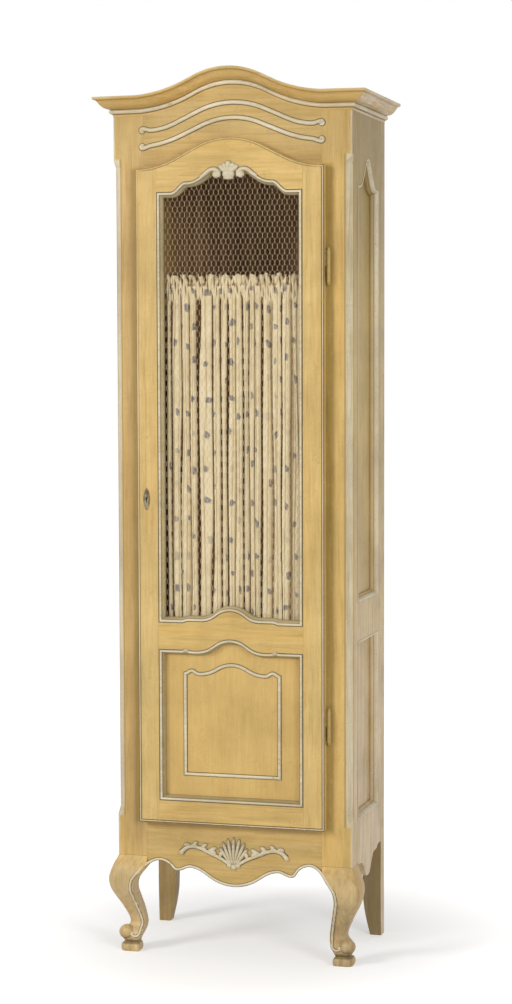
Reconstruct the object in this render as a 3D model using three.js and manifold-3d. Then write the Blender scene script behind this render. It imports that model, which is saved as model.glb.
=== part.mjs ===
// Painted bonnetiere: a tall, narrow one-door linen cupboard with an arched cornice,
// a wire-mesh door with a gathered curtain behind it, and scrolled cabriole front legs.
// Millimetres, +Z up, front towards -Y. Origin on the floor, below the middle of the
// overall width and depth.

import * as THREE from 'three';
import { mergeVertices } from 'three/addons/utils/BufferGeometryUtils.js';
import Module from 'manifold-3d';

const wasm = await Module();
wasm.setup();

// Driving sizes of the case
const bodyWidth = 610;
const bodyDepth = 354;
const corniceReach = 42;
const corniceHeight = 41;
const corniceOverDoor = 138;
const archRise = 66;
const archHalfRun = 215;
const legHeight = 250;
const seam = 0.3;
const overrun = 4;

// How finely curves are stepped
const friezeSteps = 24;
const corniceSteps = 26;
const scrollSteps = 30;
const sideSteps = 20;
const openingSteps = 34;
const cartoucheSteps = 32;
const apronEndSteps = 10;
const apronMiddleSteps = 26;
const stileHeadSteps = 5;
const shellSteps = 4;
const foldSteps = 4;
const hatPasses = 12;

// Posts, rails and boards
const postWidth = 77;
const postDepth = 56;
const rearPostWidth = 52;
const rearPostDepth = 72;
const boardThickness = 22;
const sideFrameThickness = 20;
const panelThickness = 8;
const grooveDepth = 7;
const topBoardThickness = 18;
const topBoardDrop = 7;
const floorBoardTop = 356;
const shelfThickness = 19;
const shelfTops = [730, 1110, 1490];
const shelfSetback = 32;
const cleatHeight = 30;
const cleatDepth = 18;
const cleatBatten = 5;
const cleatBattenWidth = 40;
const backBoardThickness = 8;
const backBoardCount = 2;
const backRailFoot = 258;
const backRailThickness = 22;
const backRebate = 12;
const chamferSize = 18;
const chamferFoot = 350;
const chamferHeadDrop = 110;
const chamferFade = 22;

// Rear legs
const rearLegTop = 252;
const rearLegHipWidth = 48;
const rearLegHipHeight = 112;
const rearLegFootWidth = 30;
const rearLegDepth = 36;
const rearLegFootDepth = 30;

// Side frames
const sideApronLow = 195;
const sideApronRise = 48;
const sideApronHalfRun = 76;
const sideApronEar = 9;
const sideApronEarRun = 16;
const sideRailLowDrop = 46;
const sideRailHighRise = 48;
const sideArchFootDrop = 182;
const sideArchRise = 72;
const sideArchHalfRun = 92;

// Front apron
const apronTop = 356;
const apronLow = 190;
const apronRise = 48;
const apronHalfRun = 118;
const apronCuspReach = 149;
const apronCuspDrop = 10;
const apronCuspRun = 10;
const apronCrownReach = 196;
const apronCrownRise = 28;
const apronBeadWidth = 7;
const apronBeadDepth = 3;

// Cornice profile, as reach out from the case and height above its foot
const beadSize = 8;
const ovoloReach = 27;
const ovoloHeight = 25;
const cavettoReach = 40;
const filletFoot = 33;

// Frieze scrolls
const scrollHalfRun = 229;
const scrollWidth = 10;
const scrollDepth = 5;
const scrollEyeRadius = 9;
const scrollEyeShare = 0.75;
const upperScrollDrop = 46;
const upperScrollRise = 67;
const lowerScrollDrop = 76;
const lowerScrollRise = 60;

// Door
const doorHalfWidth = 240;
const doorFoot = 343;
const doorShoulderRise = 57;
const doorArchRise = 73;
const doorThickness = 23;
const doorGap = 1;
const stileWidth = 53;
const openingFootRise = 17;
const openingShoulderRise = 249;
const openingStep = 21;
const openingStepFrom = 146;
const openingStepRun = 34;
const openingCrown = 48;
const openingCrownHalfRun = 104;
const sillHump = 30;
const sillHumpHalfRun = 76;
const sillStep = 4;
const earReach = 124;
const earRun = 14;
const panelFoot = 399;
const panelShoulderDrop = 71;
const panelStep = 8;
const panelHump = 35;
const panelHumpHalfRun = 82;
const panelEarReach = 114;
const rimWidth = 14;
const rimBead = 6;
const rimProud = 2;
const panelSink = 16;
const doorPanelThickness = 6;
const meshThickness = 1.6;
const meshSink = 20;
const meshPitch = 54;
const meshWire = 3.2;
const meshSelvedge = 13;
const meshGapLeast = 900;

// Raised cream frame on the lower panel
const cartoucheHalfWidth = 126;
const cartoucheFoot = 463;
const cartoucheShoulderDrop = 58;
const cartoucheHump = 25;
const cartoucheHumpHalfRun = 84;
const cartoucheEarReach = 105;
const cartoucheEarHalfRun = 20;
const cartoucheEarRise = 8;
const cartoucheWidth = 8;
const cartoucheDepth = 5;

// Carved crest over the opening
const crestHalfWidth = 26;
const crestFootRise = 27;
const crestTopRise = 72;
const crestDepth = 7;
const voluteReach = 36;
const voluteRise = 45;
const voluteRadius = 15;
const voluteDepth = 6;

// Carved shell and leaves on the apron
const shellHalfWidth = 38;
const shellFoot = 231;
const shellTop = 309;
const shellDepth = 7;
const shellLobes = 7;
const shellKnot = 8;
const shellFlute = 3;
const shellShares = { span: 0.78, scallop: 0.12, root: 0.12, waist: 0.8, flute: 0.9 };
const leafReach = 139;
const leafRise = 66;
const leafDepth = 5;

// Curtain and rods
const curtainHalfWidth = 170;
const curtainTopRise = 44;
const curtainCloth = 2.4;
const curtainFolds = 13;
const curtainFoldDepth = 6;
const pocketFold = 0.12;
const pinchFold = 0.45;
const headerFold = 0.7;
const driftShare = 0.2;
const curtainDropShare = 12;
const headerGather = 2.2;
const rodRadius = 3.5;
const rodHeight = 1668;
const lowerRodHeight = 836;
const rodStandoff = 14;
const pocketWall = 2.2;
const pocketClearance = 0.6;
const bracketWidth = 9;
const bracketHeight = 16;
const bracketInset = 192;

// Hinges, lock and bolt
const lowerHingeRise = 259;
const upperHingeDrop = 244;
const hingeLength = 80;
const hingeReach = 249;
const hingeStandoff = 11;
const knuckleRadius = 5.2;
const pinRadius = 2.3;
const pinClearance = 0.35;
const finialRadius = 4.2;
const leafThickness = 1.6;
const postLeafLength = 20;
const lockHeight = 1157;
const lockLength = 62;
const lockWidth = 34;
const lockThickness = 12;
const lockInset = 3;
const lockPlate = 2.4;
const boltLength = 22;
const boltHeight = 16;
const boltThickness = 5;
const boltClearance = 0.5;
const boltThrow = 8;
const mortiseDepth = 12;
const strikeThickness = 1.6;
const strikeHeight = 44;
const strikeWidth = 12;
const escutcheonOffset = 216;
const escutcheonWidth = 17;
const escutcheonHeight = 54;
const escutcheonThickness = 2.2;
const keyholeRadius = 3;
const keyholeSlot = 2.4;
const keyholeLength = 13;

// Heights that follow the curtain rods, as the net opening is set out round them
const openingFoot = lowerRodHeight + openingFootRise;
const openingShoulder = rodHeight + openingShoulderRise;
const panelShoulder = openingFoot - panelShoulderDrop;
const cartoucheShoulder = panelShoulder - cartoucheShoulderDrop;
const sideRailLow = openingFoot - sideRailLowDrop;
const sideRailHigh = openingFoot + sideRailHighRise;
const doorShoulder = openingShoulder + doorShoulderRise;
const crestFoot = openingShoulder + crestFootRise;
const crestTop = openingShoulder + crestTopRise;
const voluteHeight = openingShoulder + voluteRise;
const curtainTop = rodHeight + curtainTopRise;
const hingeHeights = [doorFoot + lowerHingeRise, doorShoulder - upperHingeDrop];
const corniceFoot = doorShoulder + corniceOverDoor;
const upperScrollEnd = corniceFoot - upperScrollDrop;
const lowerScrollEnd = corniceFoot - lowerScrollDrop;
const sideArchFoot = corniceFoot - sideArchFootDrop;
const chamferHead = corniceFoot - chamferHeadDrop;

// Places worked out from the driving sizes
const halfWidth = bodyWidth / 2;
const frontY = corniceReach - (bodyDepth + corniceReach) / 2;
const backY = frontY + bodyDepth;
const corniceTop = corniceFoot + corniceHeight;
const topBoardTop = corniceTop - topBoardDrop;
const topBoardFoot = topBoardTop - topBoardThickness;
const postInner = halfWidth - postWidth;
const sideInner = halfWidth - sideFrameThickness;
const panelInner = sideInner - panelThickness;
const postBack = frontY + postDepth;
const rearPostFront = backY - rearPostDepth;
const sideMiddle = (postBack + rearPostFront) / 2;
const sideHalfSpan = (rearPostFront - postBack) / 2;
const boardBack = frontY + boardThickness;
const doorBackY = frontY - doorGap;
const doorFrontY = doorBackY - doorThickness;
const stileInner = doorHalfWidth - stileWidth;
const panelFaceY = doorFrontY + panelSink;
const meshFaceY = doorFrontY + meshSink;
const rodY = doorBackY + rodStandoff;
const hingeY = frontY - hingeStandoff;
const backBoardFront = backY - backRebate;

const finishes = {
  ochrePaint: { color: 0xddb96d, roughness: 0.55, metalness: 0 },
  creamPaint: { color: 0xe8d9b4, roughness: 0.5, metalness: 0 },
  darkWood: { color: 0x4a3020, roughness: 0.7, metalness: 0 },
  innerPaint: { color: 0x8d7a48, roughness: 0.7, metalness: 0 },
  brass: { color: 0x8a7448, roughness: 0.4, metalness: 1 },
  wire: { color: 0xa08a60, roughness: 0.45, metalness: 1 },
  cloth: { color: 0xe9d9a8, roughness: 0.9, metalness: 0 },
};

const toFront = new THREE.Matrix4().makeBasis(
  new THREE.Vector3(1, 0, 0), new THREE.Vector3(0, 0, 1), new THREE.Vector3(0, -1, 0));
const toSide = new THREE.Matrix4().makeBasis(
  new THREE.Vector3(0, 1, 0), new THREE.Vector3(0, 0, 1), new THREE.Vector3(1, 0, 0));

const cabinet = new THREE.Group();
cabinet.name = 'bonnetiere';
const doorGroup = new THREE.Group();
doorGroup.name = 'door';
cabinet.add(doorGroup);

function place(group, name, geometry, finish) {
  const mesh = new THREE.Mesh(geometry, new THREE.MeshStandardMaterial(finishes[finish]));
  mesh.name = name;
  group.add(mesh);
  return mesh;
}

// Outlines and the solids made from them

function outline(points) {
  return new THREE.Shape(points.map(([across, up]) => new THREE.Vector2(across, up)));
}

function extrude(shape, depth) {
  return new THREE.ExtrudeGeometry(shape, { depth, bevelEnabled: false, curveSegments: 8 });
}

// A board cut to an outline seen from the front, between two depths
function frontBoard(points, faceY, rearY) {
  const geometry = extrude(points instanceof THREE.Shape ? points : outline(points), rearY - faceY);
  geometry.applyMatrix4(toFront);
  return geometry.translate(0, rearY, 0);
}

// A board cut to an outline seen from the side, between two X values
function sideBoard(points, lowX, highX) {
  const geometry = extrude(outline(points), highX - lowX);
  geometry.applyMatrix4(toSide);
  return geometry.translate(lowX, 0, 0);
}

// A board cut to an outline seen from above, between two heights
function flatBoard(points, low, high) {
  return extrude(outline(points), high - low).translate(0, 0, low);
}

function block(lowX, highX, lowY, highY, lowZ, highZ) {
  const geometry = new THREE.BoxGeometry(highX - lowX, highY - lowY, highZ - lowZ);
  return geometry.translate((lowX + highX) / 2, (lowY + highY) / 2, (lowZ + highZ) / 2);
}

function uprightCylinder(radius, low, high, centreX, centreY, sides = 16) {
  const geometry = new THREE.CylinderGeometry(radius, radius, high - low, sides);
  geometry.rotateX(Math.PI / 2);
  return geometry.translate(centreX, centreY, (low + high) / 2);
}

function mirrored(geometry) {
  const copy = geometry.index ? geometry.toNonIndexed() : geometry.clone();
  const position = copy.getAttribute('position');
  for (let corner = 0; corner < position.count; corner += 1) {
    position.setX(corner, -position.getX(corner));
  }
  for (let first = 0; first < position.count; first += 3) {
    const second = new THREE.Vector3().fromBufferAttribute(position, first + 1);
    const third = new THREE.Vector3().fromBufferAttribute(position, first + 2);
    position.setXYZ(first + 1, third.x, third.y, third.z);
    position.setXYZ(first + 2, second.x, second.y, second.z);
  }
  copy.computeVertexNormals();
  return copy;
}

function solidOf(geometry) {
  const bare = geometry.clone();
  bare.deleteAttribute('normal');
  bare.deleteAttribute('uv');
  const merged = mergeVertices(bare);
  return new wasm.Manifold(new wasm.Mesh({
    numProp: 3,
    vertProperties: new Float32Array(merged.getAttribute('position').array),
    triVerts: new Uint32Array(merged.getIndex().array),
  }));
}

function geometryOf(solid) {
  const mesh = solid.getMesh();
  const geometry = new THREE.BufferGeometry();
  geometry.setAttribute('position', new THREE.Float32BufferAttribute(mesh.vertProperties, 3));
  geometry.setIndex(new THREE.Uint32BufferAttribute(mesh.triVerts, 1));
  geometry.computeVertexNormals();
  return geometry;
}

function cut(geometry, ...tools) {
  return geometryOf(tools.reduce((left, tool) => left.subtract(solidOf(tool)), solidOf(geometry)));
}

function join(geometry, ...others) {
  return geometryOf(others.reduce((whole, other) => whole.add(solidOf(other)), solidOf(geometry)));
}

// Closed skin over a row of matching rings. A ring row that returns to its start is a
// closed frame, and an open one gets a flat cap at each end.
function loft(rings, returns = false) {
  const count = rings[0].length;
  const points = rings.flat();
  const faces = [];
  const last = returns ? rings.length : rings.length - 1;
  for (let row = 0; row < last; row += 1) {
    const here = row * count;
    const next = ((row + 1) % rings.length) * count;
    for (let step = 0; step < count; step += 1) {
      const after = (step + 1) % count;
      faces.push([here + step, here + after, next + after]);
      faces.push([here + step, next + after, next + step]);
    }
  }
  if (!returns) {
    faces.push(...capFaces(rings[0], 0, true));
    faces.push(...capFaces(rings[last], last * count, false));
  }
  const volume = faces.reduce((sum, [one, two, three]) => {
    return sum + points[one].dot(points[two].clone().cross(points[three]));
  }, 0);
  const facing = volume < 0 ? faces.map(([one, two, three]) => [one, three, two]) : faces;
  const geometry = new THREE.BufferGeometry().setFromPoints(points);
  geometry.setIndex(facing.flat());
  geometry.computeVertexNormals();
  return geometry;
}

function capFaces(ring, start, reversed) {
  const normal = new THREE.Vector3();
  ring.forEach((point, step) => {
    normal.add(point.clone().cross(ring[(step + 1) % ring.length]));
  });
  const size = [Math.abs(normal.x), Math.abs(normal.y), Math.abs(normal.z)];
  const widest = size.indexOf(Math.max(...size));
  const flat = ring.map((point) => {
    const [x, y, z] = point.toArray();
    return [new THREE.Vector2(y, z), new THREE.Vector2(x, z), new THREE.Vector2(x, y)][widest];
  });
  const turn = Math.sign(THREE.ShapeUtils.area(flat));
  return THREE.ShapeUtils.triangulateShape(flat, []).map((face) => {
    const faceTurn = Math.sign(THREE.ShapeUtils.area(face.map((corner) => flat[corner])));
    const along = faceTurn === turn ? face : [face[0], face[2], face[1]];
    const facing = reversed ? [along[0], along[2], along[1]] : along;
    return facing.map((corner) => start + corner);
  });
}

// Curves shared by the cornice, the door, the aprons and the mouldings

// Height of a hat-shaped arch over its ends: a round crown, a straight slope and a
// round shoulder that runs out level at the half run.
function hat(halfRun, rise, [crownShare, slopeShare]) {
  const target = rise / halfRun;
  let half = target;
  for (let pass = 0; pass < hatPasses; pass += 1) {
    const fold = 1 - half * half;
    const value = (1 - slopeShare) * half + (2 * slopeShare * half) / fold - target;
    const slope = 1 - slopeShare + (2 * slopeShare * (1 + half * half)) / (fold * fold);
    half -= value / slope;
  }
  const angle = 2 * Math.atan(half);
  const crownRun = crownShare * halfRun;
  const slopeEnd = crownRun + slopeShare * halfRun;
  const crownRadius = crownRun / Math.sin(angle);
  const shoulderRadius = (halfRun - slopeEnd) / Math.sin(angle);
  return (across) => {
    const reach = Math.min(Math.abs(across), halfRun);
    if (reach <= crownRun) {
      return rise - crownRadius + Math.sqrt(crownRadius ** 2 - reach ** 2);
    }
    if (reach <= slopeEnd) {
      return rise - crownRadius * (1 - Math.cos(angle)) - (reach - crownRun) * Math.tan(angle);
    }
    return shoulderRadius - Math.sqrt(shoulderRadius ** 2 - (halfRun - reach) ** 2);
  };
}

// A soft step that is zero outside its start and full once it has run its length
function step(across, start, run, rise) {
  const share = THREE.MathUtils.clamp((start - Math.abs(across)) / run, 0, 1);
  return rise * share * share * (3 - 2 * share);
}

function spread(low, high, count) {
  return Array.from({ length: count + 1 }, (_, index) => low + ((high - low) * index) / count);
}

// Round crown and straight slope of each arch, as shares of its half run
const hatShares = {
  cornice: [0.55, 0],
  door: [0.34, 0.24],
  scroll: [0.42, 0.24],
  opening: [0.3, 0.34],
  sill: [0.42, 0.1],
  panel: [0.4, 0.14],
  ear: [0.4, 0],
  apron: [0.42, 0.16],
  apronCrown: [0.6, 0],
  side: [0.28, 0.34],
};

const corniceArch = hat(archHalfRun, archRise, hatShares.cornice);
const doorArch = hat(doorHalfWidth, doorArchRise, hatShares.door);
const upperScrollArch = hat(scrollHalfRun, upperScrollRise, hatShares.scroll);
const lowerScrollArch = hat(scrollHalfRun, lowerScrollRise, hatShares.scroll);
const openingHat = hat(openingCrownHalfRun, openingCrown, hatShares.opening);
const sillHat = hat(sillHumpHalfRun, sillHump, hatShares.sill);
const panelHat = hat(panelHumpHalfRun, panelHump, hatShares.panel);
const cartoucheHat = hat(cartoucheHumpHalfRun, cartoucheHump, hatShares.panel);
const cartoucheEar = hat(cartoucheEarHalfRun, cartoucheEarRise, hatShares.ear);
const apronHat = hat(apronHalfRun, apronRise, hatShares.apron);
const apronCrown = hat(apronCrownReach - apronCuspReach, apronCrownRise, hatShares.apronCrown);
const sideArch = hat(sideArchHalfRun, sideArchRise, hatShares.side);
const sideApronHat = hat(sideApronHalfRun, sideApronRise, hatShares.apron);

const doorTop = (across) => doorShoulder + doorArch(across);
const openingTop = (across) => openingShoulder
  + step(across, openingStepFrom, openingStepRun, openingStep) + openingHat(across);
const openingSill = (across) => openingFoot + step(across, earReach, earRun, sillStep)
  + sillHat(across);
const panelTop = (across) => panelShoulder - step(across, panelEarReach, earRun, panelStep)
  + panelHat(across);
const cartoucheTop = (across) => cartoucheShoulder + cartoucheHat(across)
  + cartoucheEar(Math.abs(across) - cartoucheEarReach);
const sideTop = (along) => sideArchFoot + sideArch(along - sideMiddle);
const sideFoot = (along) => sideApronLow + sideApronRise - sideApronHat(along - sideMiddle)
  + sideApronEar - step(along - sideMiddle, sideHalfSpan, sideApronEarRun, sideApronEar);

function apronEdge(across) {
  const reach = Math.abs(across);
  const inner = apronLow + apronRise;
  if (reach <= apronCuspReach) {
    const drop = step(reach - apronCuspReach, apronCuspRun, apronCuspRun, apronCuspDrop);
    return inner - apronHat(reach) - drop;
  }
  return inner - apronCuspDrop + apronCrown(reach - apronCrownReach);
}

// Front posts with a rounded-off corner that stops short of both ends

function chamferCutter() {
  const foot = chamferFoot;
  const head = chamferHead;
  const stations = [
    [foot, 0], [foot + chamferFade, chamferSize], [head - chamferFade, chamferSize], [head, 0],
  ];
  const rings = stations.map(([height, size]) => {
    const reach = size === 0 ? -overrun / 2 : size + overrun;
    return [
      new THREE.Vector3(halfWidth + overrun, frontY - overrun, height),
      new THREE.Vector3(halfWidth + overrun, frontY + reach, height),
      new THREE.Vector3(halfWidth - reach, frontY - overrun, height),
    ];
  });
  return loft(rings);
}

function frontPostSection() {
  const grooveLow = panelInner - seam;
  const grooveHigh = sideInner + seam;
  const grooveFront = postBack - grooveDepth;
  return [
    [postInner, frontY], [halfWidth, frontY], [halfWidth, postBack], [grooveHigh, postBack],
    [grooveHigh, grooveFront], [grooveLow, grooveFront], [grooveLow, postBack],
    [postInner, postBack],
  ];
}

function boltMortise() {
  const reachY = boltThickness / 2 + boltClearance;
  const reachZ = boltHeight / 2 + boltClearance;
  return block(-postInner - mortiseDepth, -postInner + overrun, lockY - reachY, lockY + reachY,
    lockHeight - reachZ, lockHeight + reachZ);
}

function strikeRecess() {
  return block(-postInner - strikeThickness - seam, -postInner + overrun,
    lockY - strikeWidth / 2 - seam, lockY + strikeWidth / 2 + seam,
    lockHeight - strikeHeight / 2 - seam, lockHeight + strikeHeight / 2 + seam);
}

function leafMortise(centreZ) {
  const half = postLeafLength / 2 + seam;
  const deep = postLeafLength + seam;
  return block(hingeReach - leafThickness / 2 - seam, hingeReach + leafThickness / 2 + seam,
    frontY - overrun, frontY + deep, centreZ - half, centreZ + half);
}

const lockY = doorBackY + lockPlate + boltThickness;

const postBlank = flatBoard(frontPostSection(), legHeight + seam, topBoardFoot - seam);
const plainPost = cut(postBlank, chamferCutter());
const hingeLeafCentres = hingeHeights.map((height) => height - hingeLength / 4);
place(cabinet, 'front_post_right', cut(plainPost, ...hingeLeafCentres.map(leafMortise)),
  'ochrePaint');
place(cabinet, 'front_post_left', cut(mirrored(plainPost), boltMortise(), strikeRecess()),
  'ochrePaint');

// Cabriole front legs, lofted from square sections with round corners. Each row gives
// the height, the outward swing of the front corner and the reach of the inner edge,
// as shares of the leg's height and of the post's width.
const legProfileShares = [
  [1, 0, 1], [0.96, 0.04, 0.96], [0.912, 0.12, 0.86], [0.856, 0.2, 0.69], [0.8, 0.25, 0.6],
  [0.756, 0.26, 0.56], [0.704, 0.235, 0.53], [0.64, 0.16, 0.545], [0.564, 0.05, 0.61],
  [0.488, -0.08, 0.67], [0.416, -0.18, 0.715], [0.36, -0.26, 0.747], [0.312, -0.3, 0.766],
  [0.284, -0.28, 0.762], [0.256, -0.155, 0.75], [0.224, -0.07, 0.715], [0.188, -0.035, 0.67],
  [0.152, -0.035, 0.624], [0.124, -0.07, 0.585], [0.1, -0.135, 0.56], [0.086, -0.155, 0.545],
  [0.076, -0.09, 0.6], [0.056, -0.06, 0.624], [0.024, -0.06, 0.624], [0, -0.09, 0.6],
];
const legCornerShares = [0.03, 0.28];
const legCornerSteps = 3;
const legBlockShare = 0.9;

function roundedSection(lowX, highX, lowY, highY, height, corner) {
  const centres = [
    [highX - corner, highY - corner], [lowX + corner, highY - corner],
    [lowX + corner, lowY + corner], [highX - corner, lowY + corner],
  ];
  return centres.flatMap(([centreX, centreY], quarter) => {
    return spread(0, 1, legCornerSteps).map((share) => {
      const angle = (quarter + share) * (Math.PI / 2);
      return new THREE.Vector3(centreX + corner * Math.cos(angle),
        centreY + corner * Math.sin(angle), height);
    });
  });
}

function frontLeg() {
  const rings = legProfileShares.map(([heightShare, outerShare, innerShare]) => {
    const height = heightShare * (legHeight - seam);
    const swing = outerShare * postWidth;
    const innerX = halfWidth - innerShare * postWidth;
    const innerY = Math.min(frontY + innerShare * postWidth, postBack);
    const outerX = halfWidth + swing;
    const outerY = frontY - swing;
    const blend = heightShare > legBlockShare ? 0 : 1;
    const size = Math.min(outerX - innerX, innerY - outerY);
    return roundedSection(innerX, outerX, outerY, innerY, height, size * legCornerShares[blend]);
  });
  return loft(rings);
}

const legShape = frontLeg();
place(cabinet, 'front_leg_right', legShape, 'ochrePaint');
place(cabinet, 'front_leg_left', mirrored(legShape), 'ochrePaint');

// Rear posts run to the floor as tapered legs

function rearPost() {
  const inner = halfWidth - rearPostWidth;
  const grooveRear = rearPostFront + grooveDepth;
  const section = [
    [inner, rearPostFront], [panelInner - seam, rearPostFront],
    [panelInner - seam, grooveRear], [sideInner + seam, grooveRear],
    [sideInner + seam, rearPostFront], [halfWidth, rearPostFront], [halfWidth, backY],
    [inner + backRebate, backY], [inner + backRebate, backBoardFront], [inner, backBoardFront],
  ];
  const post = flatBoard(section, 0, topBoardFoot - seam);
  const legFace = backY - rearLegDepth;
  const sideCut = sideBoard([
    [rearPostFront - overrun, -overrun], [backY - rearLegFootDepth, -overrun],
    [backY - rearLegFootDepth, 0], [legFace, rearLegHipHeight],
    [legFace, rearLegTop - overrun], [legFace - overrun, rearLegTop],
    [rearPostFront - overrun, rearLegTop],
  ], inner - overrun, halfWidth + overrun);
  const hip = halfWidth - rearLegHipWidth;
  const foot = halfWidth - rearLegFootWidth;
  const bulge = spread(0, 1, 5).map((share) => {
    const swell = Math.sin((share * Math.PI) / 2);
    return [foot + (hip - foot) * swell, rearLegHipHeight * share];
  });
  const innerCut = frontBoard([
    [inner - overrun, -overrun], [foot, -overrun], ...bulge, [inner, rearLegTop],
    [inner - overrun, rearLegTop],
  ], rearPostFront - overrun, backY + overrun);
  const rebateFill = floorBoardTop - shelfThickness;
  const web = block(inner, inner + backRebate, backBoardFront - overrun, backY, 0,
    rebateFill - cleatHeight);
  return cut(join(post, web), sideCut, innerCut);
}

const rearPostShape = rearPost();
place(cabinet, 'rear_post_right', rearPostShape, 'ochrePaint');
place(cabinet, 'rear_post_left', mirrored(rearPostShape), 'ochrePaint');

// Frieze board between the posts, arched over the door and under the cornice top

function friezeBoard() {
  const reach = postInner - seam;
  const lap = doorGap + boardThickness / 2;
  const lower = spread(-reach, reach, friezeSteps).map((across) => [across, doorTop(across) - lap]);
  const upper = spread(reach, -reach, friezeSteps).map((across) => {
    return [across, topBoardTop + corniceArch(across)];
  });
  return frontBoard([...lower, ...upper], frontY, boardBack);
}

place(cabinet, 'frieze_board', friezeBoard(), 'ochrePaint');

// Front apron with a scalloped lower edge and its bead

const apronStations = [
  ...spread(-postInner + seam, -apronCuspReach, apronEndSteps),
  ...spread(-apronCuspReach + apronCuspRun / 2, apronCuspReach - apronCuspRun / 2,
    apronMiddleSteps),
  ...spread(apronCuspReach, postInner - seam, apronEndSteps),
];

function frontApron() {
  const lower = apronStations.map((across) => [across, apronEdge(across)]);
  const reach = postInner - seam;
  return frontBoard([...lower, [reach, apronTop], [-reach, apronTop]], frontY, boardBack);
}

function apronBead() {
  const lower = apronStations.map((across) => [across, apronEdge(across)]);
  const upper = [...lower].reverse().map(([across, up]) => [across, up + apronBeadWidth]);
  return frontBoard([...lower, ...upper], frontY - seam - apronBeadDepth, frontY - seam);
}

place(cabinet, 'front_apron', frontApron(), 'ochrePaint');
place(cabinet, 'apron_bead', apronBead(), 'creamPaint');

// Side frames: top rail, middle rail, scalloped bottom rail and two panels a side

function sideRails() {
  const front = postBack + seam;
  const rear = rearPostFront - seam;
  const stations = spread(front, rear, sideSteps);
  const head = topBoardFoot - seam;
  const parting = (sideRailLow + sideRailHigh) / 2;
  const upright = (low, high, reach) => [[front - reach, low], [rear + reach, low],
    [rear + reach, high], [front - reach, high]];
  const topRail = [...stations.map((along) => [along, sideTop(along)]), [rear, head],
    [front, head]];
  const bottomRail = [...stations.map((along) => [along, sideFoot(along)]),
    [rear, floorBoardTop], [front, floorBoardTop]];
  const lining = (low, high) => sideBoard(upright(low, high, grooveDepth), panelInner,
    sideInner - seam);
  return {
    side_top_rail: sideBoard(topRail, sideInner, halfWidth),
    side_middle_rail: sideBoard(upright(sideRailLow, sideRailHigh, 0), sideInner, halfWidth),
    side_bottom_rail: sideBoard(bottomRail, sideInner, halfWidth),
    side_upper_panel: lining(parting + seam, head),
    side_lower_panel: lining(floorBoardTop - cleatHeight, parting),
  };
}

// A moulding frame that follows an outline: each profile row is an inset from the
// outline and a depth, and the outline function gives the points at an inset.
function frameLoft(outlineAt, profile, toPoint) {
  const rings = profile.map(([inset, depth]) => {
    return outlineAt(inset).map(([across, up]) => toPoint(across, up, depth));
  });
  return loft(rings, true);
}

// Profile of a rim that lines an opening: a round bead at the face and a slope behind it
function rimProfile(face, seat, proud) {
  const sign = Math.sign(face - seat);
  const crest = face + sign * proud;
  return [
    [0, seat], [0, face], [rimBead / 4, crest], [rimBead, crest],
    [rimBead + proud, face - sign * proud], [rimWidth, seat + sign * rimBead], [rimWidth, seat],
  ];
}

function sideMoulding(low, headAt) {
  const outlineAt = (inset) => {
    const inner = sideHalfSpan - seam * 2 - inset;
    const along = spread(sideMiddle - inner, sideMiddle + inner, sideSteps);
    const upper = [...along].reverse().map((spot) => [spot, headAt(spot) - inset - seam]);
    return [[along[0], low + inset + seam], [along[sideSteps], low + inset + seam], ...upper];
  };
  const profile = rimProfile(halfWidth, sideInner + seam, rimProud);
  return frameLoft(outlineAt, profile, (along, up, depth) => new THREE.Vector3(depth, along, up));
}

const sidePieces = sideRails();
sidePieces.side_upper_moulding = sideMoulding(sideRailHigh, sideTop);
sidePieces.side_lower_moulding = sideMoulding(floorBoardTop, () => sideRailLow);
for (const [name, geometry] of Object.entries(sidePieces)) {
  const finish = name.endsWith('moulding') ? 'creamPaint' : 'ochrePaint';
  place(cabinet, `${name}_right`, geometry, finish);
  place(cabinet, `${name}_left`, mirrored(geometry), finish);
}

// Boards inside: top, floor and shelves on cleats, and upright back boards

function notchedBoard(top, thickness, front, reach) {
  const inner = postInner - seam;
  const rear = backBoardFront - seam;
  const rearInner = halfWidth - rearPostWidth - seam;
  const postRear = postBack + seam;
  const rearFront = rearPostFront - seam;
  const right = [[inner, front], [inner, postRear], [reach, postRear], [reach, rearFront],
    [rearInner, rearFront], [rearInner, rear]];
  const left = [...right].reverse().map(([across, along]) => [-across, along]);
  return flatBoard([...right, ...left], top - thickness, top);
}

function topBoard() {
  const front = frontY;
  const inner = postInner - seam;
  const rear = boardBack + seam;
  const points = [[-halfWidth, front], [-inner, front], [-inner, rear], [inner, rear],
    [inner, front], [halfWidth, front], [halfWidth, backY], [-halfWidth, backY]];
  return flatBoard(points, topBoardFoot, topBoardTop);
}

// An upright batten with a cleat under the floor board and under each shelf
function shelfCleats() {
  const reach = panelInner - seam;
  const tops = [floorBoardTop, ...shelfTops].map((top) => top - shelfThickness - seam);
  const cleats = tops.map((top) => block(reach - cleatDepth, reach, postBack + seam,
    rearPostFront - seam, top - cleatHeight, top));
  const half = cleatBattenWidth / 2;
  const batten = block(reach - cleatBatten, reach, sideMiddle - half, sideMiddle + half,
    tops[0] - cleatHeight, tops[tops.length - 1]);
  return join(batten, ...cleats);
}

place(cabinet, 'top_board', topBoard(), 'ochrePaint');
const boardReach = panelInner - cleatBatten - seam * 2;
place(cabinet, 'floor_board',
  notchedBoard(floorBoardTop, shelfThickness, boardBack + seam, boardReach), 'innerPaint');
shelfTops.forEach((top, index) => {
  place(cabinet, `shelf_${index + 1}`,
    notchedBoard(top, shelfThickness, frontY + shelfSetback, boardReach), 'innerPaint');
});
const cleatShape = shelfCleats();
place(cabinet, 'shelf_cleats_right', cleatShape, 'innerPaint');
place(cabinet, 'shelf_cleats_left', mirrored(cleatShape), 'innerPaint');

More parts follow.
